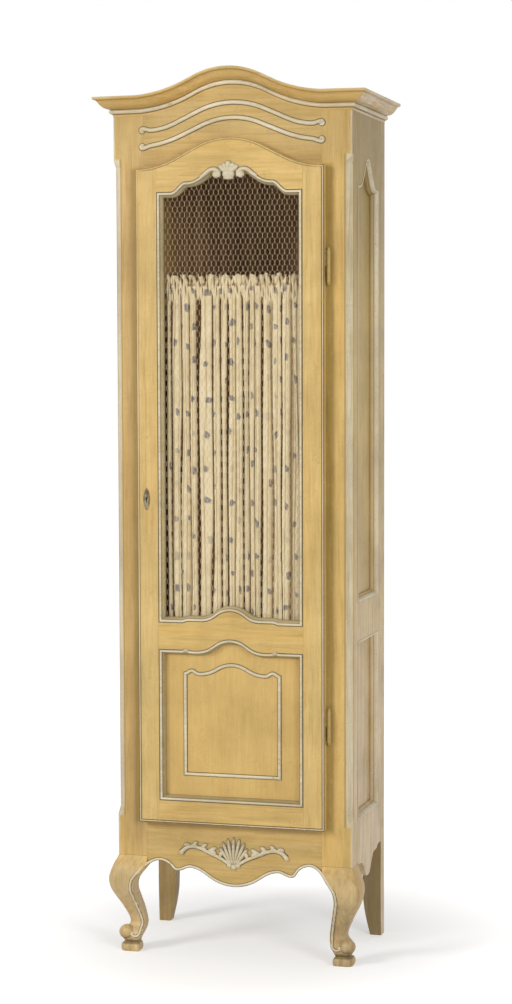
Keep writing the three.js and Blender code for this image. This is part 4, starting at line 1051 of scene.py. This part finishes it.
def leg_at(height):
    """Outward swing and inner reach of the leg at a height, in metres."""
    share = clamp(height / leg_height)
    for (top, swing_high, reach_high), (low, swing_low, reach_low) in zip(leg_rows, leg_rows[1:]):
        if share >= low:
            part = ease((share - low) / (top - low))
            return (post_width * (swing_low + (swing_high - swing_low) * part),
                    post_width * (reach_low + (reach_high - reach_low) * part))
    return post_width * leg_rows[-1][1], post_width * leg_rows[-1][2]


def loft(bm, rings, glaze):
    """Joins rings of as many points each, with a share of glaze for each ring."""
    _, groove = paint_layers(bm)
    spot = point_layer(bm.verts.layers.int, "spot")
    ring, first = start_row(bm, rings[0])
    for index, vertex in enumerate(ring):
        vertex[spot] = index
        vertex[groove] = glaze[0]
    edges = first
    for places, shade in zip(rings[1:], glaze[1:]):
        fresh, edges = grow(bm, edges)
        for vertex in fresh:
            vertex.co = places[vertex[spot]]
            vertex[groove] = shade
    cap(bm, first, edges)


def leg_ring(height_share, outer_share, inner_share):
    height = height_share * (leg_height - seam)
    inner_x = half_width - inner_share * post_width
    inner_y = min(front_y + inner_share * post_width, front_y + post_depth)
    outer_x = half_width + outer_share * post_width
    outer_y = front_y - outer_share * post_width
    size = min(outer_x - inner_x, inner_y - outer_y)
    soft = clamp((0.97 - height_share) / 0.1)
    wide = size * (0.03 + 0.27 * soft)
    radii = (wide, wide, size * (0.03 + 0.05 * soft), wide)
    corners = ((outer_x, inner_y, -1, -1), (inner_x, inner_y, 1, -1),
               (inner_x, outer_y, 1, 1), (outer_x, outer_y, -1, 1))
    ring = []
    for quarter, ((x, y, turn_x, turn_y), radius) in enumerate(zip(corners, radii)):
        for angle in spread(quarter * math.pi / 2, (quarter + 1) * math.pi / 2, 6):
            ring.append(Vector((x + turn_x * radius + radius * math.cos(angle),
                                y + turn_y * radius + radius * math.sin(angle), height)))
    return ring


toe_inset = 0.0165
toe_setback = 0.0155
toe_height = 0.0480
toe_radius = 0.0210
toe_half_height = 0.0185
toe_glaze_and_shade_top = 0.044
pad_groove_share = 0.098


def make_legs():
    rows = curve_through(leg_rows, 4)
    rings = [leg_ring(*row) for row in rows]
    # Painted shade with some glaze: dark in the crease above the pad and under the toe ball, where it sits on
    # the pad
    glaze = [0.85 * max(0, 1 - abs(row[0] - pad_groove_share) / 0.035) for row in rows]
    for side, label in ((1, "right"), (-1, "left")):
        bm = bmesh.new()
        loft(bm, [[Vector((side * point.x, point.y, point.z)) for point in ring] for ring in rings], glaze)
        toe = Matrix.Translation((side * (half_width - toe_inset), front_y + toe_setback, toe_height))
        size = Matrix.Diagonal((toe_radius, toe_radius, toe_half_height, 1))
        ball = bmesh.ops.create_uvsphere(bm, u_segments=24, v_segments=16, radius=1, matrix=toe @ size)
        _, groove = paint_layers(bm)
        for vertex in ball["verts"]:
            vertex[groove] = 0.75 * clamp((toe_glaze_and_shade_top - vertex.co.z) / 0.012)
        finish_piece(f"cabriole_leg_{label}", bm, ochre_legs, "cabinet",
                     (f"front_leg_{label}",), sharp=50)


make_legs()

# Front apron, cut along its scalloped edge


def make_apron():
    low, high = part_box("front_apron")
    lower = [(x, apron_edge(x), 0, 0) for x in spread(low.x, high.x, 150)]
    outline = [*lower, (high.x, high.z, 0, 0), (low.x, high.z, 0, 0)]
    bm = bmesh.new()
    sweep(bm, outline, [plane_at(low.y), plane_at(high.y)])
    finish_piece("apron_board", bm, ochre_frieze, "cabinet", ("front_apron",))


make_apron()

# One bead along the apron's scalloped edge and on down each leg to its toe scroll


def space_frames(points, out_hint, widths=None):
    """Frames along a path in space, with their out axis as near as can be to a given way."""
    frames = []
    for index, point in enumerate(points):
        before = points[max(index - 1, 0)]
        after = points[min(index + 1, len(points) - 1)]
        into = (point - before).normalized() if index else (after - point).normalized()
        onward = (after - point).normalized() if index < len(points) - 1 else into
        along = (into + onward).normalized()
        out = (out_hint - along * out_hint.dot(along)).normalized()
        left = out.cross(along)
        size = widths[index] if widths else 1
        mitre = size / max(0.4, along.dot(into))
        frames.append(Matrix((
            (left.x * mitre, out.x * size, along.x, point.x),
            (left.y * mitre, out.y * size, along.y, point.y),
            (left.z * mitre, out.z * size, along.z, point.z), (0, 0, 0, 1))))
    return frames


bead_reach = 0.2270
bead_rise = 0.0030
cusp_gap = 0.005
leg_bead_head = 0.226
leg_bead_foot = 0.0545
leg_bead_inset = 0.0070
toe_curl_radius = 0.0140
toe_curl_height = 0.0510
joint_reach = 7


def leg_bead_points():
    """Right leg's inner front edge from the apron down, ending in a curl on the toe."""
    points = []
    for height in spread(leg_bead_head, leg_bead_foot, 34):
        swing, reach = leg_at(height)
        points.append(Vector((half_width - reach + leg_bead_inset, front_y - swing - 0.0004, height)))
    centre = (points[-1].x + toe_curl_radius, toe_curl_height)
    for x, z in curl(centre, toe_curl_radius, math.radians(190), math.radians(125), 0.7, 18):
        swing, _ = leg_at(z)
        points.append(Vector((x, front_y - swing - 0.0006, z)))
    return points


def make_edge_bead():
    face = front_y - seam
    inner = apron_cusp - cusp_gap
    across = spread(-bead_reach, -apron_cusp, 22) + spread(-inner, inner, 64)
    across += spread(apron_cusp, bead_reach, 22)
    apron = [Vector((x, face, apron_edge(x) + bead_rise)) for x in across]
    right = leg_bead_points()
    left = [Vector((-point.x, point.y, point.z)) for point in reversed(right)]
    points = left + apron + right
    for _ in range(10):
        for joint in (len(left), len(left) + len(apron)):
            for index in range(joint - joint_reach, joint + joint_reach):
                points[index] = points[index] / 2 + (points[index - 1] + points[index + 1]) / 4
    ends = spread(1, 0.9, 22)
    widths = [*reversed(ends), *[1] * (len(points) - 2 * len(ends)), *ends]
    bm = bmesh.new()
    sweep(bm, half_round(0.0062, 0.0030, 6, 0.0010), space_frames(points, Vector((0, -1, 0)), widths))
    toe = right[-1]
    for side in (-1, 1):
        place = plane_at(toe.y) @ Matrix.Translation((side * toe.x, toe.z + 0.001, 0))
        add_dome(bm, place, 0.0052, 0.0042)
    finish_piece("edge_bead", bm, cream_trim, "cabinet", ("apron_bead",))


make_edge_bead()

# Carving: lobes, leaflets and stems laid on a flat face


def mirrored_lobe(bm, plane, side, root, angle, *sizes, bend=0.0, glazed=0.5):
    """A lobe on the right, or its mirror image on the left."""
    turned = angle if side > 0 else 180 - angle
    add_lobe(bm, plane, (side * root[0], root[1]), turned, *sizes, bend=side * bend, glazed=glazed)


shell_foot = 0.235
shell_ribs = (0.076, 0.074, 0.069, 0.060)
stem_points = [(0.006, 0.238), (0.032, 0.254), (0.060, 0.266), (0.088, 0.278), (0.111, 0.281),
               (0.127, 0.275), (0.137, 0.265)]
# Leaflets along the stem: root, angle in degrees, length, width, and bend in degrees
leaflets = [
    ((0.036, 0.254), 96, 0.024, 0.017, 30), ((0.046, 0.257), 66, 0.029, 0.019, -25),
    ((0.058, 0.261), 88, 0.026, 0.018, 35), ((0.069, 0.265), 58, 0.028, 0.018, -30),
    ((0.080, 0.270), 84, 0.023, 0.017, 35), ((0.091, 0.274), 52, 0.025, 0.016, -30),
    ((0.102, 0.278), 80, 0.019, 0.015, 35), ((0.112, 0.280), 40, 0.021, 0.014, -35),
]


def make_apron_carving():
    """A shell of seven ribs, with a leafy stem on each side of it."""
    bm = bmesh.new()
    plane = plane_at(front_y - seam)
    profile = half_round(0.0092, 0.0050, 6, 0.0016)
    stem = curve_through(stem_points, 5)
    widths = [1 + 0.35 * share ** 6 for share in spread(0, 1, len(stem) - 1)]
    for side in (-1, 1):
        sweep(bm, profile, path_frames([(side * x, z) for x, z in stem], plane, widths=widths))
        add_ball(bm, plane, side * 0.1370, 0.2645, 0.0064, 0.0064)
        for root, angle, length, width, bend in leaflets:
            mirrored_lobe(bm, plane, side, root, angle, length, width, 0.0064, bend=bend, glazed=0.75)
        add_ball(bm, plane, side * 0.011, 0.239, 0.0065, 0.0055)
    for place, length in enumerate(shell_ribs):
        for side in (-1, 1) if place else (1,):
            mirrored_lobe(bm, plane, side, (0.001 * place, shell_foot), 90 - 11.5 * place, length,
                          0.0122, 0.0078, glazed=0.85)
    add_ball(bm, plane, 0, shell_foot, 0.0072, 0.0062)
    finish_piece("shell_and_leaves", bm, carving_trim, "cabinet", ("apron_carving",),
                 sharp=80)


make_apron_carving()


def make_crest_ground():
    """The top rail goes on down behind the crest, as far as the moulding."""
    rail_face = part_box("door_top_rail")[0].y
    rail_hat = hat(0.104, 0.048, 0.3, 0.34)
    across = spread(-0.040, 0.040, 32)
    lower = [(x, opening_top(x) - 0.002, 0, 0) for x in across]
    upper = [(x, opening_shoulder + 0.021 + rail_hat(x) + 0.002, 0, 0) for x in reversed(across)]
    bm = bmesh.new()
    sweep(bm, lower + upper, [plane_at(rail_face - 0.0001), plane_at(rail_face + 0.012)])
    finish_piece("crest_ground", bm, ochre_level, "door")


make_crest_ground()


crest_heart = 1.9530
crest_rise = 0.0030
crest_hook = [(0.0720, opening_top(0.0720) - 0.0070), (0.0620, opening_top(0.0620) - 0.0066),
              (0.0530, 1.9620), (0.0430, 1.9662), (0.0335, 1.9654), (0.0270, 1.9608),
              (0.0250, 1.9545), (0.0275, 1.9492)]


def make_crest():
    """A hooked scroll on each side of a round boss, with five leaves above it and two lips below."""
    bm = bmesh.new()
    plane = plane_at(door_front) @ Matrix.Translation((0, crest_rise, 0))
    hook = curve_through(crest_hook, 5)
    widths = spread(0.9, 1.7, len(hook) - 1)
    for side in (-1, 1):
        sweep(bm, half_round(0.0078, 0.0052, 6, 0.0012),
              path_frames([(side * x, z) for x, z in hook], plane, widths=widths))
        add_ball(bm, plane, side * 0.0312, 1.9535, 0.0094, 0.0096, sides=20)
        for angle, length, width in ((74, 0.0310, 0.0150), (52, 0.0325, 0.0165)):
            mirrored_lobe(bm, plane, side, (0.0015, crest_heart), angle, length, width, 0.0078, bend=-8)
    add_lobe(bm, plane, (0, crest_heart), 90, 0.0350, 0.0185, 0.0098)
    body = plane @ Matrix.Translation((0, 1.9545, 0.0)) @ Matrix.Diagonal((1, 0.96, 1, 1))
    add_dome(bm, body, 0.0156, 0.0092, sides=24)
    for lift, reach, tall in ((1.9438, 0.0138, 0.0038), (1.9500, 0.0156, 0.0022)):
        lip = plane @ Matrix.Translation((0, lift, ball_lift)) @ Matrix.Diagonal((reach / tall, 1, 1, 1))
        add_dome(bm, lip, tall, 0.0092, sides=24)
    finish_piece("opening_crest", bm, cream_trim, "door", (), sharp=80)


make_crest()

# Escutcheon: a pointed oval plate with a raised rim and a keyhole


def make_escutcheon():
    low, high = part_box("key_plate")
    middle = (low + high) / 2
    wide = (high.x - low.x) / 2
    tall = (high.z - low.z) / 2
    plane = plane_at(door_front) @ Matrix.Translation((middle.x, middle.z, 0))
    angles = spread(0, 2 * math.pi, 48)[:-1]

    def oval(share, out):
        ring = []
        for angle in angles:
            x, z = math.cos(angle), math.sin(angle)
            pointed = 1 - 0.25 * abs(z) ** 3
            ring.append(plane @ Vector((share * wide * x * pointed, share * tall * z, out)))
        return ring

    def keyhole(size, out):
        ring = []
        for angle in angles:
            x, z = math.cos(angle), math.sin(angle)
            slot = 0.0030 + 0.0062 * max(0, -z) ** 4
            ring.append(plane @ Vector((size * 0.0026 * x, 0.002 + size * slot * z, out)))
        return ring

    bm = bmesh.new()
    # The rim's grooves take patina; the keyhole's walls and floor are near black, painted shade for the depth
    # of the hole
    loft(bm, [oval(1, 0.0001), oval(1, 0.0009), oval(0.94, 0.0018), oval(0.84, 0.0019), oval(0.76, 0.0011),
              oval(0.6, 0.0014), keyhole(1.3, 0.0018), keyhole(1, 0.0016), keyhole(0.95, 0.0003)],
         [0.8, 0.3, 0, 0, 0.6, 0.1, 0.2, 1, 1])
    finish_piece("escutcheon", bm, lock_brass, "door", ("key_plate",), sharp=50)


make_escutcheon()

# Wire netting: upright wires that twist round their neighbours in turn

cell_width = 0.0125
twist_length = 0.0086
slope_length = 0.0048
wire_radius = 0.00044
net_depth = net_face + 0.0008
net_inset = 0.0105


def net_wire_shape(phase):
    """One full-height wire; phase 0 leans left on even rows and phase 1 on odd rows."""
    bm = bmesh.new()
    row_rise = twist_length + slope_length
    rows = int((opening_shoulder + 0.08 - opening_foot) / row_rise) + 2
    places = []
    for row in range(rows):
        left = (row + phase) % 2 == 0
        centre = 0.0 if left else cell_width / 2
        inward = -1 if left else 1
        base = opening_foot - 0.01 + row * row_rise
        for share in (0, 0.5, 1):
            turn = math.pi * share
            places.append(Vector((
                centre - inward * wire_radius * math.cos(turn),
                net_depth + inward * wire_radius * math.sin(turn) * (1 if phase else -1),
                base + twist_length * share)))
    bmesh.ops.create_circle(bm, segments=4, radius=wire_radius, matrix=Matrix.Translation(places[0]))
    edges = bm.edges[:]
    for here, there in zip(places, places[1:]):
        fresh, edges = grow(bm, edges)
        bmesh.ops.translate(bm, verts=fresh, vec=there - here)
    return bm


def make_net():
    shapes = [net_wire_shape(0), net_wire_shape(1)]
    whole = bmesh.new()
    reach = rim_reach - 0.004
    count = int(2 * reach / (cell_width / 2)) - 1
    for index in range(count):
        left = -reach + index * cell_width / 2
        phase = index % 2
        bm = shapes[phase].copy()
        bmesh.ops.translate(bm, verts=bm.verts, vec=Vector((left, 0, 0)))
        middle = left + cell_width / 4
        for height, way in ((opening_sill(middle) + net_inset, -1), (opening_top(middle) - net_inset, 1)):
            bmesh.ops.bisect_plane(bm, geom=[*bm.verts, *bm.edges, *bm.faces], clear_outer=True,
                                   plane_co=(0, 0, height), plane_no=(0, 0, way))
        bmesh.ops.holes_fill(bm, edges=bm.edges, sides=0)
        mesh = mesh_from(bm, "wire")
        whole.from_mesh(mesh)
        bpy.data.meshes.remove(mesh)
    for shape in shapes:
        shape.free()
    finish_piece("wire_netting", whole, net_wire, "door", ("wire_net",), sharp=60)


make_net()

# Gathered curtain, cut flat and drawn up on its rod

curtain_half = 0.170
curtain_head = rod_z + 0.044
stitch_z = rod_z + 0.0200
curtain_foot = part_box("curtain")[0].z + 0.002
curtain_folds = 16
gathers = 43
fold_size = 0.019
cloth_front = rod_y - 0.005
cloth_thickness = 0.0008
# Waves of the ruffle's upper edge: size and how close they are
ruffle_waves = ((0.0022, 61), (0.0020, 143), (0.0016, 311))


def fold_phase(share, height):
    """Which fold a point of the cloth lies in, counted from the left; folds differ in width."""
    drift = 0.48 * math.sin(share * 9.7 + 0.6) + 0.14 * math.sin(share * 27.0 + 1.3)
    sway = 0.07 * math.sin(height * 5.1 + share * 31) + 0.05 * math.sin(height * 11.7 + share * 67)
    return share * curtain_folds + drift + sway


def fold_wave(share, height):
    """Depth from 0 on a broad fold's front to 1 in the narrow gap behind it, and the front's roundness."""
    phase = fold_phase(share, height)
    gap = math.floor(phase + 0.5)
    gap_half = 0.21 + 0.08 * math.sin(gap * 2.1 + 0.4)
    deep = ease((1 - abs(phase - gap) / gap_half) * 1.5) * (0.66 + 0.34 * math.sin(gap * 3.7))
    turn = phase * 2 * math.pi
    crease = 0.22 * max(0, math.cos(turn * 2.37 + 1.7 * math.sin(height * 2.1 + gap))) ** 4
    return min(deep + crease * (1 - deep), 1), 0.5 - 0.5 * math.cos(turn)


def gather_wave(share, height):
    """Fine uneven puckers of the heading, about from -1 to 1."""
    wander = 2.4 * math.sin(share * 17) + 1.1 * math.sin(share * 53 + height * 40)
    fine = share * gathers * 2 * math.pi + wander
    return math.sin(fine) * 0.6 + 0.5 * math.sin(fine * 0.41 + height * 130)


def fold_start(share, height):
    """0 on the gathered heading and 1 where the folds hang free; each fold starts at its own height."""
    own_drop = 0.007 * (1 + math.sin(math.floor(fold_phase(share, height) + 0.5) * 2.1))
    return ease((rod_z + 0.006 - own_drop - height) / 0.020)


def curtain_point(share, height):
    """Place of the cloth's middle at a share of its width and a height."""
    deep, roundness = fold_wave(share, height)
    fine = gather_wave(share, height)
    below = fold_start(share, height)
    above = clamp((height - stitch_z) / 0.016)
    near = math.exp(-((height - stitch_z) / 0.0060) ** 2)
    gather_size = 0.0030 * (1 - below) * (1 - near) + 0.0052 * above
    x = -curtain_half + 2 * curtain_half * share + 0.0030 * above * math.cos(share * 190)
    folded = below * (fold_size * deep - 0.0030 * roundness)
    return Vector((x, cloth_front + folded + gather_size * fine - 0.0010 * near, height))


def make_curtain(columns):
    bm = bmesh.new()
    rows = 96
    uv = bm.loops.layers.uv.new("flat_cloth")
    fold = bm.verts.layers.float.new("fold")
    made = bmesh.ops.create_grid(bm, x_segments=columns, y_segments=rows, size=0.5)
    spots = {}
    for vertex in made["verts"]:
        share = vertex.co.x + 0.5
        rise = vertex.co.y + 0.5
        ruffle = sum(size * math.sin(share * waves) for size, waves in ruffle_waves)
        height = curtain_foot + (curtain_head + ruffle * rise ** 6 - curtain_foot) * rise ** 0.8
        spots[vertex] = share
        vertex.co = curtain_point(share, height)
        ruffled = clamp((height - stitch_z) / 0.012)
        puckers = max(gather_wave(share, height) + 0.2, 0) * (1 - fold_start(share, height))
        stitched = 0.6 * math.exp(-((height - stitch_z) / 0.0022) ** 2)
        # The fold value is painted shade: deep in the gaps between folds, in the puckers of the heading and
        # along the crease at the stitching
        vertex[fold] = clamp(max((vertex.co.y - cloth_front) / fold_size, (0.5 + 0.4 * ruffled) * puckers,
                                 stitched))
    return bm, spots, uv


def flat_places(height, columns):
    """Distance along the folded cloth from its left edge to each of its columns."""
    points = [curtain_point(share, height) for share in spread(0, 1, columns)]
    places = [0.0]
    for here, there in zip(points, points[1:]):
        places.append(places[-1] + (there - here).length)
    return places


def finish_curtain():
    print_group = make_sprig_group()
    columns = 420
    bm, spots, uv = make_curtain(columns)
    places = flat_places((curtain_foot + rod_z) / 2, columns)
    for face in bm.faces:
        for loop in face.loops:
            column = round(spots[loop.vert] * columns)
            loop[uv].uv = (places[column], loop.vert.co.z)
    mesh = mesh_from(bm, "curtain_cloth")
    mesh.shade_smooth()
    mesh.materials.append(make_cloth_material("printed_cotton", print_group, 1.0, 0.95))
    mesh.materials.append(make_cloth_material("cotton_back", print_group, 0.4, 0.25))
    cloth = add_object("curtain_cloth", mesh)
    thick = cloth.modifiers.new("thickness", "SOLIDIFY")
    thick.thickness = cloth_thickness
    thick.offset = 0
    thick.material_offset = 1
    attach(cloth, "door")
    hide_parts("curtain")


def make_sprig_group():
    """A half-drop print of small flowers on flat cloth, each with a leaf below it, some hardly inked."""
    group, nodes, given, result = new_group("sprig_print", (
        ("Vector", "Vector", (0, 0, 0)),
        ("Drop", "Float", 0.044),
        ("Spacing", "Float", 0.070),
    ), (("Flower", "Float"), ("Leaf", "Float")))
    vector, drop, spacing = given["Vector"], given["Drop"], given["Spacing"]
    wander = nodes.add("ShaderNodeTexNoise", {"Vector": vector, "Scale": 14.0, "Detail": 0.0})
    moved = nodes.add("ShaderNodeVectorMath", {0: wander.outputs["Color"], 1: (0.030, 0.036, 0), 2: vector},
                      operation="MULTIPLY_ADD").outputs[0]
    along, high, _ = nodes.split(moved)
    rise = nodes.math("DIVIDE", high, drop)
    row = nodes.math("FLOOR", rise)
    run = nodes.plus(nodes.math("DIVIDE", along, spacing), nodes.times(nodes.math("MODULO", row, 2.0), 0.5))
    up = nodes.times(nodes.minus(nodes.math("FRACT", rise), 0.5), drop)
    across = nodes.times(nodes.minus(nodes.math("FRACT", run), 0.5), spacing)
    reach = nodes.math("SQRT", nodes.plus(nodes.times(across, across), nodes.times(up, up)))
    scallops = nodes.math("COSINE", nodes.times(nodes.math("ARCTAN2", up, across), 3.0))
    petals = nodes.plus(0.0090, nodes.times(0.0012, scallops))
    flower = nodes.ramp(nodes.minus(reach, petals), -0.0026, 0.0010, 1, 0)
    heart = nodes.ramp(reach, 0.0008, 0.0018, 0.75, 1)
    side = nodes.minus(across, 0.0050)
    low = nodes.plus(up, 0.0070)
    leaf_reach = nodes.math("SQRT", nodes.plus(nodes.times(side, side, 0.3), nodes.times(low, low)))
    leaf = nodes.ramp(leaf_reach, 0.0014, 0.0030, 1, 0)
    cell = nodes.add("ShaderNodeCombineXYZ", {0: nodes.math("FLOOR", run), 1: row}).outputs[0]
    chance = nodes.add("ShaderNodeTexWhiteNoise", {"Vector": cell}).outputs["Value"]
    printed = nodes.ramp(chance, 0.12, 0.42, 0.1, 1)
    nodes.feed(result, {"Flower": nodes.times(flower, heart, printed), "Leaf": nodes.times(leaf, printed)})
    return group


def make_cloth_material(name, print_group, print_share, fold_shade_share):
    """Cream cotton, clouded with age, with its print and brown painted shade in its deep folds and gathers.
    """
    material, nodes, shader = start_material(name, 0.15)
    flat = nodes.add("ShaderNodeUVMap", uv_map="flat_cloth").outputs[0]
    sprigs = nodes.add("ShaderNodeGroup", {"Vector": flat}, node_tree=print_group).outputs
    warp, weft = (nodes.add("ShaderNodeTexWave", {"Vector": flat, "Scale": weave_scale},
                            bands_direction=way).outputs["Fac"] for way in "XY")
    cloud = nodes.noise(flat, 18)
    color = nodes.mix(nodes.ramp(cloud, 0.3, 0.75, 0.25, 0.75), cotton_cream, cotton_aged)
    for ink, strength, tint in (("Flower", 0.8, flower_grey), ("Leaf", 0.5, leaf_olive)):
        color = nodes.mix(nodes.times(sprigs[ink], strength * print_share), color, tint)
    color = nodes.mix(nodes.ramp(nodes.attribute("fold"), 0.10, 0.60, 0, fold_shade_share), color, fold_shade_brown)
    finish_surface(nodes, shader, color, 0.9, nodes.times(warp, weft), 0.15, 0.0002)
    return material


finish_curtain()

# Stage, light and camera

sky_light = 0.42
lamp_target = (0, 0, 1.1)


def seen_rays(nodes):
    """1 where the camera looks, also by gloss or through glass, and 0 for the light on the piece."""
    seen = nodes.add("ShaderNodeLightPath").outputs
    return nodes.most(seen["Is Camera Ray"], seen["Is Glossy Ray"], seen["Is Transmission Ray"])


def make_stage():
    """A pale floor that is brighter away from the piece, to where it meets the white behind it."""
    bm = bmesh.new()
    bmesh.ops.create_grid(bm, x_segments=1, y_segments=1, size=30)
    floor = add_object("floor", mesh_from(bm, "floor"))
    material = bpy.data.materials.new("pale_floor")
    nodes = clear_nodes(material)
    reach = nodes.add("ShaderNodeVectorMath", {0: nodes.place()}, operation="LENGTH").outputs["Value"]
    share = nodes.times(seen_rays(nodes), nodes.ramp(reach, 0.3, 0.95, 0.38, 0.70))
    matt = nodes.add("ShaderNodeBsdfDiffuse", {"Color": (0.82, 0.82, 0.82, 1)})
    white = nodes.add("ShaderNodeEmission", {"Color": (1, 1, 1, 1), "Strength": share})
    both = nodes.add("ShaderNodeAddShader", {0: matt.outputs[0], 1: white.outputs[0]})
    nodes.add("ShaderNodeOutputMaterial", {"Surface": both.outputs[0]})
    floor.data.materials.append(material)


def make_world():
    world = bpy.data.worlds.new("studio")
    bpy.context.scene.world = world
    nodes = clear_nodes(world)
    strength = nodes.plus(sky_light, nodes.times(seen_rays(nodes), 1 - sky_light))
    sky = nodes.add("ShaderNodeBackground", {"Color": (1, 1, 1, 1), "Strength": strength})
    nodes.add("ShaderNodeOutputWorld", {"Surface": sky.outputs[0]})


def add_lamp(name, place, size, power):
    lamp = bpy.data.lights.new(name, "AREA")
    lamp.shape = "DISK"
    lamp.size = size
    lamp.energy = power
    holder = add_object(name, lamp)
    holder.location = place
    holder.rotation_euler = (Vector(lamp_target) - Vector(place)).to_track_quat("-Z", "Y").to_euler()


camera_place = (1.6116, -5.5730, 1.5397)
camera_yaw = math.radians(15.977)
camera_pitch = math.radians(3.930)
camera_roll = math.radians(-0.175)
camera_lens = 81.95


def make_camera():
    ahead = Vector((-math.sin(camera_yaw) * math.cos(camera_pitch),
                    math.cos(camera_yaw) * math.cos(camera_pitch), -math.sin(camera_pitch)))
    level = Vector((math.cos(camera_yaw), math.sin(camera_yaw), 0))
    rise = level.cross(ahead)
    right = level * math.cos(camera_roll) + rise * math.sin(camera_roll)
    up = rise * math.cos(camera_roll) - level * math.sin(camera_roll)
    data = bpy.data.cameras.new("camera")
    data.lens = camera_lens
    data.clip_end = 100
    camera = add_object("camera", data)
    camera.matrix_world = Matrix((
        (right.x, up.x, -ahead.x, camera_place[0]), (right.y, up.y, -ahead.y, camera_place[1]),
        (right.z, up.z, -ahead.z, camera_place[2]), (0, 0, 0, 1)))
    bpy.context.scene.camera = camera


make_stage()
make_world()
add_lamp("key", (-3.4, -4.2, 3.0), 1.8, 132)
add_lamp("fill", (3.8, -3.8, 2.4), 2.0, 94)
make_camera()
bpy.context.scene.view_settings.view_transform = "Standard"
